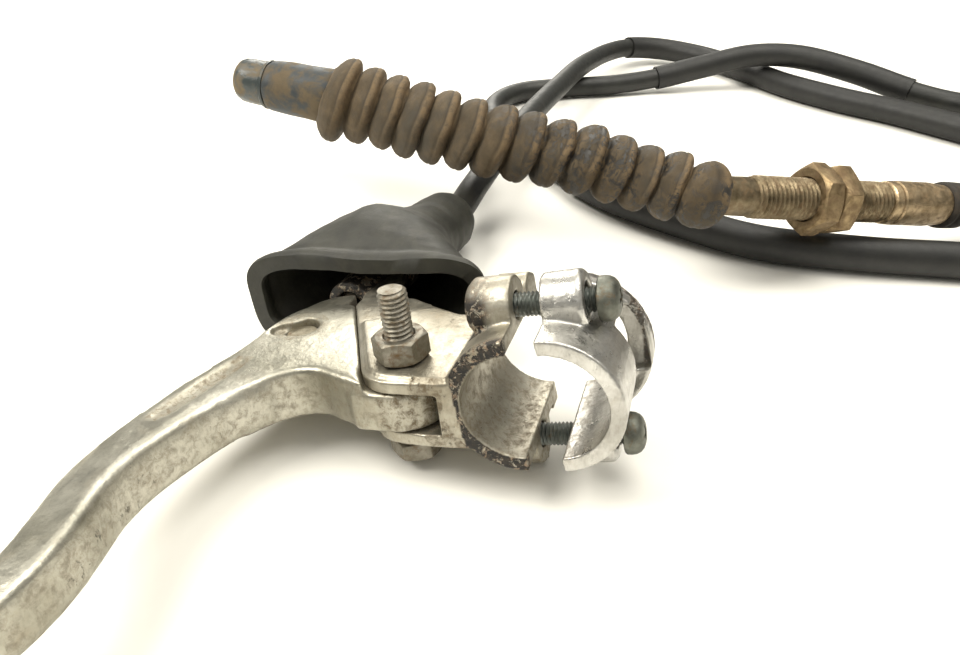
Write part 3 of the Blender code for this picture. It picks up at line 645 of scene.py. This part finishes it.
def build_lever():
    """The casting, with its square root corner, cable slot, long pocket and nipple notch."""
    lever = cad_copy("lever_casting", "lever_blade", LEVER.inverted())
    shift(lever, blade_fullness)
    corner = [(4.0, 62.9), (9.0, 62.0), (13.9, 59.9), (19.5, 57.1), (22.6, 54.0), (23.8, 49.2),
              (17.0, 49.0)]
    rib = [(-50.0, 68.6), (-40.0, 71.2), (-30.0, 70.6), (-19.0, 69.1), (-10.0, 65.6),
           (-10.0, 62.0), (-19.0, 64.5), (-30.0, 67.0), (-40.0, 68.0)]
    carve(lever, [prism("corner", corner, -7.1, 4.45)], "UNION")
    carve(lever, [prism("rib", rib, -6.6, 4.34)], "UNION")
    slot = [(4.0, 57.4), (26.0, 57.4), (26.0, 40.0), (14.0, 43.0), (4.0, 53.0)]
    carve(lever, [prism("slot", slot, NIPPLE.z - 1.9, NIPPLE.z + 2.1)], "DIFFERENCE")
    pocket = long_pocket(lever, POCKET_START, POCKET_END, POCKET_R, POCKET_DEPTH)
    notch = prism("notch", slot_outline((6.0, 56.4), (5.2, 59.2), 2.7), 2.7, 9.0)
    carve(lever, [pocket, notch], "DIFFERENCE")
    soften(lever, 0.42, 5)
    smooth_where(lever, FINGER_EDGE_ROUNDS, lambda p: -28.0 < p.x < -9.0 and p.y < 57.5)
    smooth_where(lever, BACK_EDGE_ROUNDS,
                 lambda p: -30.0 < p.x < -12.0 and p.y > 66.4 - 0.1 * (p.x + 19.0))
    roughen(lever, 0.05, 0.35)
    paint_masks(lever, lever_rule)
    place(lever, LEVER, "lever", ALUMINIUM_LEVER, ["lever_blade"])


# ---------------------------------------------------------------- perch and cap

def split_place(point):
    """A point in the clamp's own turned frame."""
    return SPLIT.inverted() @ point


def perch_rule(point, normal):
    """Grime on all faces, darker in the bores, on the joint face and on the clamp's near face; painted
    shade between the ears and underneath; paint left on the nose, the boss and the cable's exit.
    """
    local = split_place(point)
    r = math.hypot(local.y, local.z)
    dirt_and_shade = 0.30
    paint = 0.0
    if r < 11.7 and abs(local.x) < 14.0:
        dirt_and_shade = 0.62
    if local.y < 0.75 and normal.y < -0.7:
        dirt_and_shade = 0.55
    if 11.3 < r < 16.5 and local.y < 12.0:
        paint = ramp_between(-local.x, 11.6, 13.0)
    boss = math.hypot(local.x + 0.5, local.z - 15.0)
    if boss < 7.0 and local.z > 9.5:
        worn_top = 0.6 * ramp_between(local.z, 18.0, 20.0)
        paint = max(paint, ramp_between(local.y, 3.5, 6.0) * (1.0 - worn_top))
    from_pivot = math.hypot(point.x - PIVOT.x, point.y - PIVOT.y)
    # Painted shade between the ears round the pivot.
    if from_pivot < 9.0 and -7.6 < point.z < 2.1:
        dirt_and_shade = 1.0
    # Painted shade towards the bottom.
    if point.z < -10.0:
        dirt_and_shade = 0.8
    if local.x < -11.0 and 14.5 < r < 21.0 and normal.x < -0.5:
        dirt_and_shade = 1.0
    along = (point - NIPPLE).dot(CABLE_AXIS)
    if along > 15.0 and (point - NIPPLE - CABLE_AXIS * along).length < 7.4:
        dirt_and_shade, paint = 1.0, 1.0
    return dirt_and_shade, paint


def build_perch():
    """The bracket casting, with a shallow oval groove on its plate."""
    perch = cad_copy("perch_casting", "perch_bracket", LEVER.inverted())
    oval = turned_tube("oval", UP * 5.2, UP, ((0.0, 3.45), (3.0, 3.45)),
                       ((0.0, 3.05), (3.0, 3.05)), 48)
    oval.data.transform(Matrix.Translation((4.0, 18.6, 0.0)) @ Matrix.Diagonal((1.25, 0.95, 1.0, 1.0)))
    carve(perch, [oval], "DIFFERENCE")
    soften(perch, 0.36, 4)
    roughen(perch, 0.04, 0.45)
    paint_masks(perch, perch_rule)
    place(perch, LEVER, "perch", ALUMINIUM_PERCH, ["perch_bracket"])


def cap_rule(point, normal):
    """Darker in the cap's bore, dirt in its joint; paint left on its far rim."""
    local = split_place(point)
    r = math.hypot(local.y + 5.4, local.z)
    dirt_and_shade = 0.22
    paint = 0.0
    if r < 11.5:
        dirt_and_shade = 0.55
    if math.hypot(local.y + 5.4, local.z + 1.2) > 15.2 and local.x > 10.5:
        paint = 0.9 * ramp_between(local.x, 11.5, 12.6)
        dirt_and_shade = 0.3
    if local.y > -6.0 and normal.y > 0.7:
        dirt_and_shade = 0.45
    return dirt_and_shade, paint


def build_cap():
    """The loose half of the clamp."""
    cap = cad_copy("cap_casting", "clamp_cap", LEVER.inverted())
    soften(cap, 0.36, 5)
    roughen(cap, 0.04, 0.45)
    paint_masks(cap, cap_rule)
    place(cap, LEVER, "cap", ALUMINIUM_CAP, ["clamp_cap"])


# ---------------------------------------------------------------- pivot hardware and screws

def build_pivot():
    """The M6 bolt from below, its nut on top and the washer at its head."""
    foot = Vector((PIVOT.x, PIVOT.y, -16.6))
    head = hex_piece("head", foot, UP, 10.0, 4.2, 0.0, 0.35)
    plain = turned("plain", foot + UP * 2, UP, ((0.0, 2.92), (20.0, 2.92)), 48)
    thread = threaded("thread", foot + UP * 21.5, UP, 2.97, 1.0, 15.6, 0.46)
    bolt = join("pivot_bolt_m6", [head, plain, thread])
    place(bolt, LEVER, "perch", ZINC_BOLT, ["pivot_bolt"], 40)
    nut = hex_piece("pivot_nut_m6", Vector((PIVOT.x, PIVOT.y, 5.9)), UP, 10.0, 5.0, 3.05, 0.27)
    place(nut, LEVER, "perch", ZINC_BOLT, ["pivot_nut"], 40)
    washer = turned_tube("pivot_washer_ring", Vector((PIVOT.x, PIVOT.y, -12.1)), UP,
                         ((0.0, 5.2), (0.2, 5.4), (1.2, 5.4), (1.4, 5.2)),
                         ((0.0, 3.3), (0.2, 3.25), (1.2, 3.25), (1.4, 3.3)))
    place(washer, LEVER, "perch", ZINC_BOLT, ["pivot_washer"], 40)


# The corners of a rectangle, as signs.
CORNERS = ((-1, -1), (1, -1), (1, 1), (-1, 1))

# Distance of each clamp screw from the middle of the bore.
SCREW_OFF = 15.0


def build_screw(name, node, body, sign, head_at):
    """An M5 pan-head screw with a cross recess, above the bore or below it by its sign."""
    start = SPLIT @ Vector((-0.5, head_at, sign * SCREW_OFF))
    axis = (SPLIT.to_3x3() @ Vector((0, 1, 0))).normalized()
    head = turned("head", start, axis, ((-3.95, 1.2), (-3.85, 2.2), (-3.5, 3.1), (-2.9, 3.8), (-2.1, 4.2),
                                       (-1.1, 4.35), (-0.25, 4.3), (0.0, 4.1)), 64)
    side, other = around(axis)
    for a, b in ((side, other), (other, side)):
        mouth = [start - axis * 4.6 + a * (2.2 * i) + b * (0.5 * j) for i, j in CORNERS]
        floor = [start - axis * 2.1 + a * i + b * (0.38 * j) for i, j in CORNERS]
        carve(head, [loft("cross", [mouth, floor])], "DIFFERENCE")
    bevelled(head, 0.1, 30.0)
    thread = threaded("thread", start - axis * 0.3, axis, 2.45, 0.8, 3.5 - head_at, 0.42)
    place(head, LEVER, body, SCREW_HEAD, (), 40)
    head.name = name + "_head"
    thread.name = name
    place(thread, LEVER, body, ZINC_SCREW, [node], 50)


# ---------------------------------------------------------------- cable at the lever end

def on_cable(distance):
    """A point along the cable's line from the nipple, in the lever frame."""
    return NIPPLE + CABLE_AXIS * distance


# The wire's rings, one each millimetre from the nipple's side to well inside the adjuster.
WIRE_START = 4.25
WIRE_RINGS = 35


def build_lever_end():
    """Nipple, twisted wire, screw adjuster with its lock ring, and the casing's end cup."""
    nipple = turned("nipple_barrel", NIPPLE - UP * 4.0, UP, ((0.0, 3.4), (0.4, 3.8), (0.8, NIPPLE_R),
                                                         (7.2, NIPPLE_R), (7.6, 3.8), (8.0, 3.4)), 48)
    place(nipple, LEVER, "nipple", BRASS, ["cable_nipple"], 40)
    path = [on_cable(WIRE_START + i) for i in range(WIRE_RINGS)]
    rings = []
    for k, point in enumerate(path):
        ring = []
        for angle, way in spokes(CABLE_AXIS, 42):
            ring.append(point + way * (0.86 + 0.14 * abs(math.sin((angle + k * 0.55) * 3.5))))
        rings.append(ring)
    wire = loft("inner_wire_strand", rings)
    place(wire, LEVER, "nipple", DARK_STEEL, ["inner_wire"])
    adjuster = turned_tube("lever_adjuster", on_cable(21.5), CABLE_AXIS,
                           ((0.0, 3.2), (0.6, 3.9), (24.4, 3.9), (24.5, 5.9), (25.0, 6.3), (28.0, 6.3),
                            (28.4, 5.9), (29.4, 5.9), (29.8, 6.3), (36.4, 6.3), (37.0, 5.9)),
                           ((0.0, 2.4), (25.5, 2.4), (25.6, 5.2), (37.0, 5.2)), 48)
    place(adjuster, LEVER, "adjuster", DARK_STEEL, ["cable_adjuster"], 40)
    ring = turned_tube("lock_ring", on_cable(41.4), CABLE_AXIS,
                       ((0.0, 6.3), (0.3, 6.6), (3.1, 6.6), (3.4, 6.3)), ((0.0, 4.2), (3.4, 4.2)), 48)
    place(ring, LEVER, "lock_ring", ZINC_BOLT, ["adjuster_lock_ring"], 40)
    ferrule = turned_tube("casing_end_cup", on_cable(47.4), CABLE_AXIS,
                          ((0.0, 4.6), (0.3, 4.9), (12.6, 4.9), (13.0, 4.7)), ((0.0, 1.6), (13.0, 1.6)), 48)
    place(ferrule, LEVER, "perch", ZINC_BOLT, ["casing_ferrule"], 40)


# Where the boot starts to flatten above the table, the height it never goes below, and the
# distance between its rings.
PRESS_FROM = 1.2
PRESS_FLOOR = 0.25
BOOT_STEP = 0.75

# Boot stations along the lever frame's X: centre Y, centre Z, half width, half height, squareness.
BOOT = (
    (24.5, 47.9, 1.7, 31.6, 12.5, 0.44),
    (29.0, 48.6, 2.3, 29.6, 12.9, 0.54),
    (34.0, 49.2, 3.2, 26.8, 13.2, 0.68),
    (40.0, 50.2, 4.0, 23.4, 13.5, 0.76),
    (46.0, 50.8, 4.5, 19.8, 13.6, 0.84),
    (52.0, 50.3, 4.0, 16.6, 12.9, 0.90),
    (58.0, 49.4, 3.0, 13.6, 11.8, 0.95),
    (64.0, 48.3, 2.3, 11.2, 10.7, 1.0),
    (70.0, 47.3, 2.0, 9.9, 9.8, 1.0),
    (76.0, 46.5, 1.95, 9.4, 9.4, 1.0),
    (81.0, 45.9, 1.95, 9.0, 9.0, 1.0),
    (84.0, 45.6, 2.0, 8.5, 8.5, 1.0),
    (85.4, 45.4, 2.0, 7.7, 7.7, 1.0),
    (86.0, 45.4, 2.0, 6.9, 6.9, 1.0),
)


def boot_ring(x, wall, sides=120):
    """One ring of the boot, with the roof's central hump and the mouth's sagging upper lip."""
    _, yc, zc, hy, hz, power = interpolate(BOOT, x)
    hump = 2.0 * ramp_between(x, 28.0, 38.0) * (1.0 - ramp_between(x, 46.0, 58.0))
    sag = 1.5 * (1.0 - ramp_between(x, 25.0, 34.0))
    ring = []
    for i in range(sides):
        angle = math.tau * i / sides
        across = math.copysign(abs(math.cos(angle)) ** power, math.cos(angle)) * (hy - wall)
        rise = math.copysign(abs(math.sin(angle)) ** power, math.sin(angle))
        up = rise * (hz - wall)
        if rise > 0.0:
            up += rise * hump * math.exp(-(across / 8.0) ** 2)
            up -= rise * sag * math.exp(-((across + 5.0) / 13.0) ** 2)
        ring.append(Vector((x, yc + across, zc + up)))
    return ring


def rest_on_table(obj, matrix):
    """Presses the underside of a soft piece flat where it would sink into the table."""
    back = matrix.inverted()
    for vertex in obj.data.vertices:
        point = matrix @ vertex.co
        height = point.z * 1000.0
        if height < PRESS_FROM:
            give = PRESS_FROM - PRESS_FLOOR
            point.z = MM * (PRESS_FLOOR + give * math.exp((height - PRESS_FROM) / give))
            vertex.co = back @ point


def build_boot():
    """The hood: a thick beaded mouth, a sagging roof and a stepped neck, all one skin."""
    outer = []
    inner = []
    x = BOOT[0][0]
    while x <= BOOT[-1][0] + 0.01:
        bead = max(0.0, 1.0 - ((x - 26.0) / 2.6) ** 2)
        crease = 0.35 * max(0.0, 1.0 - abs(x - 29.6) / 1.2)
        cuff = 0.6 * ramp_between(x, 69.0, 70.5) * (1.0 - ramp_between(x, 81.0, 84.0))
        wall = 2.1 + 1.5 * max(0.0, 1.0 - abs(x - 25.0) / 3.2)
        outer.append(boot_ring(x, 0.35 - bead + crease - cuff))
        inner.append(boot_ring(x, wall))
        x += BOOT_STEP
    boot = loft("boot_skin", outer + list(reversed(inner)), closed_tube=True)
    displace(boot, lambda p: 0.45 * noise.noise(p * 0.10) + 0.14 * noise.noise(p * 0.32))
    rest_on_table(boot, LEVER)
    place(boot, LEVER, "perch", BOOT_RUBBER, ["rubber_boot"], 60)


# ---------------------------------------------------------------- engine end

def on_engine(distance):
    """A point along the engine adjuster, in the table frame."""
    return ENGINE_START + ENGINE_AXIS * distance


def build_engine_end():
    """Threaded adjuster with two jam nuts, the crimped ferrule and the rubber cap."""
    axis = ENGINE_AXIS
    stub = turned("stub", on_engine(-5.0), axis,
                  ((0.0, 4.6), (0.4, 5.2), (12.0, 5.4), (12.8, 5.1), (13.6, 5.1)), 64)
    thread = threaded("thread", on_engine(8.2), axis, 6.0, 1.45, 45.8, 0.8, 64)
    adjuster = join("engine_adjuster_m12", [stub, thread])
    place(adjuster, TABLE, "perch", THREAD_ZINC, ["engine_adjuster"], 45)
    front = hex_piece("jam_nut_front_m12", on_engine(27.0), axis, 18.0, 6.0, 6.15, 0.2)
    place(front, TABLE, "nut_front", YELLOW_ZINC, ["jam_nut_front"], 40)
    rear = hex_piece("jam_nut_rear_m12", on_engine(33.3), axis, 18.0, 6.0, 6.15, 0.5)
    place(rear, TABLE, "nut_rear", YELLOW_ZINC, ["jam_nut_rear"], 40)
    ferrule = turned("crimped_ferrule", on_engine(54.3), axis,
                     ((0.0, 5.6), (0.5, 6.2), (2.4, 6.4), (2.8, 6.1), (3.4, 6.1), (3.8, 6.45), (16.0, 6.5),
                      (17.0, 6.4), (21.4, 6.0)), 72)
    place(ferrule, TABLE, "perch", CRIMP_ZINC, ["crimp_ferrule"], 40)
    cap = turned("ferrule_cap", on_engine(76.0), axis,
                 ((0.0, 6.3), (0.5, 6.9), (1.6, 7.0), (2.0, 6.7), (2.6, 6.7), (3.0, 7.0), (6.6, 6.9),
                  (7.6, 6.6), (8.2, 5.9)), 72)
    place(cap, TABLE, "perch", CAP_RUBBER, ["casing_cap"], 60)


# The bellows' middle line, from the adjuster to the end fitting.
BELLOWS = [on_engine(-2.2), on_engine(-7.0), (84.0, -19.6, 28.1), (90.5, -7.5, 27.4), (96.2, 2.5, 27.5),
           (99.6, 14.7, 27.6), (102.0, 27.0, 27.8), (104.9, 41.7, 28.2), (108.3, 56.2, 28.9),
           (111.9, 69.8, 29.9), (115.2, 83.1, 30.9), (118.0, 101.0, 32.2)]
# Number of folds, where in a fold its lip stands, and the way the wide end's folds face.
FOLDS = 14
LIP = 0.30
LEAN = Vector((-0.186, 0.915, 0.358)).normalized()


def fold_shape(phase):
    """A fold's height, 0 to 1: a quick round rise to its lip and a slow fall to the next groove."""
    if phase < LIP:
        return math.sqrt(1.0 - (1.0 - phase / LIP) ** 2)
    return (1.0 - ((phase - LIP) / (1.0 - LIP)) ** 2.4) ** 0.85


def build_bellows():
    """Fourteen leaning folds that overlap like shells, each a little different."""
    per_fold = 18
    steps = FOLDS * per_fold
    path = evenly(smooth_path(BELLOWS, 12), 0.25)
    sides = 80
    outer = []
    inner = []
    masks = {"crest": [], "lip_mud_and_highlight": [], "flaked": []}
    for k in range(steps + 1):
        t = k / steps
        index = round(t * (len(path) - 1))
        ahead = heading(path, index, 2).normalized().lerp(LEAN, ramp_between(t, -0.15, 0.20))
        fold, phase = divmod(k / per_fold, 1.0)
        crest = 9.0 + 5.9 * t - 1.2 * t * t + 0.3 * math.sin(fold * 2.1)
        depth = 3.0 + 0.9 * ramp_between(t, 0.0, 0.2)
        if fold >= FOLDS - 1:
            crest += 1.1
            depth = 5.0
        shape = fold_shape(phase)
        line = max(0.0, 1.0 - abs(phase - LIP - 0.09) / 0.05)
        rising = 1.0 - ramp_between(phase, LIP, LIP + 0.10)
        ring = []
        for _, way in spokes(ahead, sides):
            wobble = noise.noise(Vector((way.x * 1.6, way.y * 1.6, way.z * 1.6 + fold * 3.1)))
            r = crest - depth * (1.0 - shape) + wobble * 0.40 - 0.22 * line
            ring.append(path[index] + way * r + ahead.normalized() * wobble * 0.7)
            # The crest mask paints each lip's shadow on the upper side; the lip mask paints paler mud on
            # the lip, with a painted highlight on its upper side.
            masks["crest"].append(line * ramp_between(way.z, -0.1, 0.4))
            masks["lip_mud_and_highlight"].append(rising * ramp_between(way.z, -0.5, 0.5))
            masks["flaked"].append(1.0 - 0.8 * ramp_between(t, 0.35, 0.65))
        outer.append(ring)
        inner.append(circle(path[index], ahead, crest - depth - 0.9, sides))
    bellows = loft("bellows_folds", outer + list(reversed(inner)), closed_tube=True)
    for key, values in masks.items():
        mask = bellows.data.attributes.new(key, "FLOAT", "POINT")
        mask.data.foreach_set("value", values + [0.0] * (len(bellows.data.vertices) - len(values)))
    place(bellows, TABLE, "perch", GAITER, ["cable_bellows"])
    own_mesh(bellows)


# The inner wire starts this many steps along the bellows, clear of the folds that close up.
WIRE_HIDDEN_STEPS = 25


def build_bellows_end():
    """The slack cuff on the bellows' wide end, the fitting held in it, and the wire inside."""
    start = Vector((118.1, 98.5, 32.1))
    axis = (Vector((118.8, 134.0, 35.3)) - start).normalized()
    sleeve = turned_tube("bellows_cuff", start, axis,
                         ((-3.0, 8.6), (1.0, 9.3), (3.0, 9.3), (9.0, 9.1), (15.0, 8.9), (19.0, 8.8),
                          (22.0, 8.7), (23.0, 8.4), (23.5, 7.9)),
                         ((-3.0, 7.6), (1.0, 7.6), (3.0, 7.6), (9.0, 7.6), (15.0, 7.5), (19.0, 7.5),
                          (22.0, 7.5), (23.0, 7.5), (23.5, 7.5)), 72)
    displace(sleeve, lambda p: 0.30 * noise.noise(p * 0.20))
    place(sleeve, TABLE, "wire_end", CUFF_MUD, ["bellows_sleeve"])
    fitting = turned("end_fitting_barrel", start + axis * 4.0, axis,
                     ((0.0, 6.0), (0.5, 7.1), (19.4, 7.2), (19.6, 8.3), (20.4, 8.4), (21.2, 7.7),
                      (22.2, 7.7), (27.2, 7.6), (29.4, 7.4), (30.8, 6.8), (31.7, 5.8), (32.2, 4.3)), 72)
    place(fitting, TABLE, "wire_end", FITTING_MUD, ["engine_end_fitting"], 40)
    line = evenly(smooth_path(BELLOWS, 12), 2.0)[WIRE_HIDDEN_STEPS:]
    rings = []
    for i, point in enumerate(line):
        rings.append(circle(point, heading(line, i), 1.0, 16, i * 0.3))
    wire = loft("engine_wire_strand", rings)
    place(wire, TABLE, "wire_end", ZINC_BOLT, ["engine_wire"])


# ---------------------------------------------------------------- the free cable

def cable_route():
    """The route's points, the same as the CAD's, in table millimetres."""
    exit_points = [TILT @ on_cable(s) + LEVER_ORIGIN for s in (60.7, 74.0, 86.0)]
    lever_side = exit_points + [(106.0, 44.2, 10.4), (130.0, 42.9, 12.4), (156.0, 41.0, 14.1),
                                (184.0, 39.2, 14.2), (212.0, 36.6, 14.2), (240.0, 33.6, 14.2),
                                (263.0, 30.6, 12.6), (287.0, 26.0, 10.6)]
    long_sleeve = [(305.0, 17.5, 9.2), (315.5, 1.0, 7.2), (310.5, -20.4, 6.2), (293.0, -42.0, 5.8),
                   (272.0, -62.0, 5.6), (256.0, -84.0, 5.6), (244.5, -106.0, 5.6), (229.0, -129.0, 5.6),
                   (213.0, -152.0, 5.6), (194.0, -173.0, 5.6), (168.0, -186.0, 5.6),
                   (140.0, -182.0, 5.6), (119.0, -161.0, 5.6), (110.0, -133.0, 5.6),
                   (106.5, -104.0, 5.6), (102.6, -75.0, 5.6), (101.4, -49.0, 5.6),
                   (108.6, -27.0, 5.6), (119.5, -4.5, 5.6)]
    turn = [(133.0, 13.5, 5.8), (158.0, 37.5, 4.7), (182.0, 56.0, 4.6), (206.0, 64.5, 4.6),
            (228.0, 58.5, 4.6), (241.0, 40.0, 4.6), (251.0, 19.0, 4.8)]
    short_sleeve = [(263.0, -1.5, 6.4), (272.0, -22.0, 11.0), (279.5, -44.0, 16.0), (279.5, -66.0, 17.0),
                    (272.5, -91.0, 14.0)]
    engine_side = [(262.5, -114.0, 9.8), (255.0, -132.0, 8.4), (243.0, -150.0, 11.0), (225.0, -163.0, 16.2),
                   (204.0, -168.0, 17.6), (182.0, -165.5, 13.0), (163.0, -155.0, 7.0),
                   (150.0, -142.0, 6.2)]
    engine_side += [on_engine(s) for s in (106.0, 95.0, 84.6)]
    return lever_side, long_sleeve, turn, short_sleeve, engine_side


def build_sleeve(name, path, first, last, node):
    """A vinyl sleeve, slack on the casing, with its cut ends showing their thickness."""
    piece = evenly(path[first:last + 1], 2.0)
    outer = []
    inner = []
    for i, point in enumerate(piece):
        ahead = heading(piece, i)
        ring = []
        for _, way in spokes(ahead, 40):
            slack = noise.noise(Vector((i * 0.06, way.x, way.y))) * 0.22
            ring.append(point + way * (SLEEVE_R - 0.15 + slack))
        outer.append(ring)
        inner.append(circle(point, ahead, CASING_R + 0.08, 40))
    sleeve = loft(name, outer + list(reversed(inner)), closed_tube=True)
    return place(sleeve, TABLE, "perch", SLEEVE_BLACK, [node], 60)


# Steps of the smooth curve to each point of the route.
CURVE_STEPS = 6


def build_cable():
    """The casing as one curve with its two sleeves."""
    stretches = cable_route()
    path = smooth_path([point for stretch in stretches for point in stretch], CURVE_STEPS)
    bounds = [0]
    for stretch in stretches:
        bounds.append(bounds[-1] + CURVE_STEPS * len(stretch))
    long_one = build_sleeve("long_sleeve", path, bounds[1], bounds[2], "sleeve_long")
    short_one = build_sleeve("short_sleeve", path, bounds[3], bounds[4], "sleeve_short")
    points = evenly(path, 3.0)
    curve = bpy.data.curves.new("clutch_cable", "CURVE")
    curve.dimensions = "3D"
    curve.bevel_depth = CASING_R
    curve.bevel_resolution = 6
    curve.use_fill_caps = True
    spline = curve.splines.new("POLY")
    spline.points.add(len(points) - 1)
    for target, point in zip(spline.points, points):
        target.co = (*point, 1.0)
    cable = in_scene("clutch_cable", curve)
    place(cable, TABLE, "perch", CASING_BLACK,
          ["casing_lever_side", "casing_turn", "casing_engine_side"])


# ---------------------------------------------------------------- stage

def build_floor():
    """A wide floor of pale paper."""
    bpy.ops.mesh.primitive_plane_add(size=40.0)
    floor = bpy.context.object
    floor.name = "floor"
    f = Finish("floor_paper", 0.75, 0.0)
    tone = f.ramp(f.noise(90.0, 3.0), (0.3, (0.88, 0.865, 0.815)), (0.7, (0.91, 0.895, 0.85)))
    floor.data.materials.append(f.finish(tone))


def build_sky():
    """Soft light from a sky that is brighter overhead, and plain white to the camera."""
    world = bpy.data.worlds.new("studio")
    bpy.context.scene.world = world
    world.use_nodes = True
    background = world.node_tree.nodes["Background"]
    background.inputs["Strength"].default_value = 0.80
    nodes = world.node_tree.nodes
    split = nodes.new("ShaderNodeSeparateXYZ")
    sky = nodes.new("ShaderNodeValToRGB")
    world.node_tree.links.new(nodes.new("ShaderNodeTexCoord").outputs["Generated"], split.inputs[0])
    world.node_tree.links.new(split.outputs["Z"], sky.inputs["Fac"])
    seen = nodes.new("ShaderNodeMix")
    seen.data_type = "RGBA"
    seen.inputs[7].default_value = (1.0, 0.99, 0.96, 1.0)
    world.node_tree.links.new(nodes.new("ShaderNodeLightPath").outputs["Is Camera Ray"], seen.inputs[0])
    world.node_tree.links.new(sky.outputs["Color"], seen.inputs[6])
    world.node_tree.links.new(seen.outputs[2], background.inputs["Color"])
    sky.color_ramp.elements.new(0.45)
    steps = ((0.0, 0.20), (0.45, 0.42), (0.75, 1.0))
    for element, (position, tone) in zip(sky.color_ramp.elements, steps):
        element.position = position
        element.color = (tone, tone * 0.98, tone * 0.90, 1.0)


def build_lights():
    """Three warm round lamps: one for the highlights, one from above and one from behind."""
    for name, place_at, size, power, aim in (
            ("key", (-0.15, 0.55, 0.75), 0.55, 9.0, (0.05, 0.0, 0.0)),
            ("top", (0.25, -0.25, 0.9), 0.8, 7.0, (0.05, 0.0, 0.0)),
            ("back", (0.9, 0.35, 0.45), 0.5, 5.0, (0.1, 0.0, 0.0))):
        light = bpy.data.lights.new(name, "AREA")
        light.shape = "DISK"
        light.size = size
        light.energy = power
        light.color = (1.0, 0.965, 0.88)
        lamp = in_scene(name, light)
        lamp.location = place_at
        lamp.rotation_euler = (Vector(aim) - Vector(place_at)).to_track_quat("-Z", "Y").to_euler()


def build_camera():
    """A wide lens close to the clamp, looking down along the cable."""
    camera = bpy.data.cameras.new("camera")
    camera.sensor_width = 36.0
    camera.lens = 28.26
    camera.clip_start = 0.01
    eye = in_scene("camera", camera)
    eye.location = (-0.08125, -0.050075, 0.114505)
    eye.rotation_euler = Vector((0.7912, 0.2305, -0.5664)).to_track_quat("-Z", "Y").to_euler()
    bpy.context.scene.camera = eye
    bpy.context.scene.view_settings.view_transform = "Standard"


def main():
    build_floor()
    build_sky()
    build_lights()
    build_camera()
    build_lever()
    build_perch()
    build_cap()
    build_pivot()
    build_screw("clamp_screw_top", "clamp_screw_upper", "screw_upper", 1, -15.6)
    build_screw("clamp_screw_bottom", "clamp_screw_lower", "screw_lower", -1, -16.6)
    build_lever_end()
    build_boot()
    build_engine_end()
    build_bellows()
    build_bellows_end()
    build_cable()
    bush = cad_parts["pivot_bush"]
    bush.data.materials.clear()
    bush.data.materials.append(BRASS)


main()
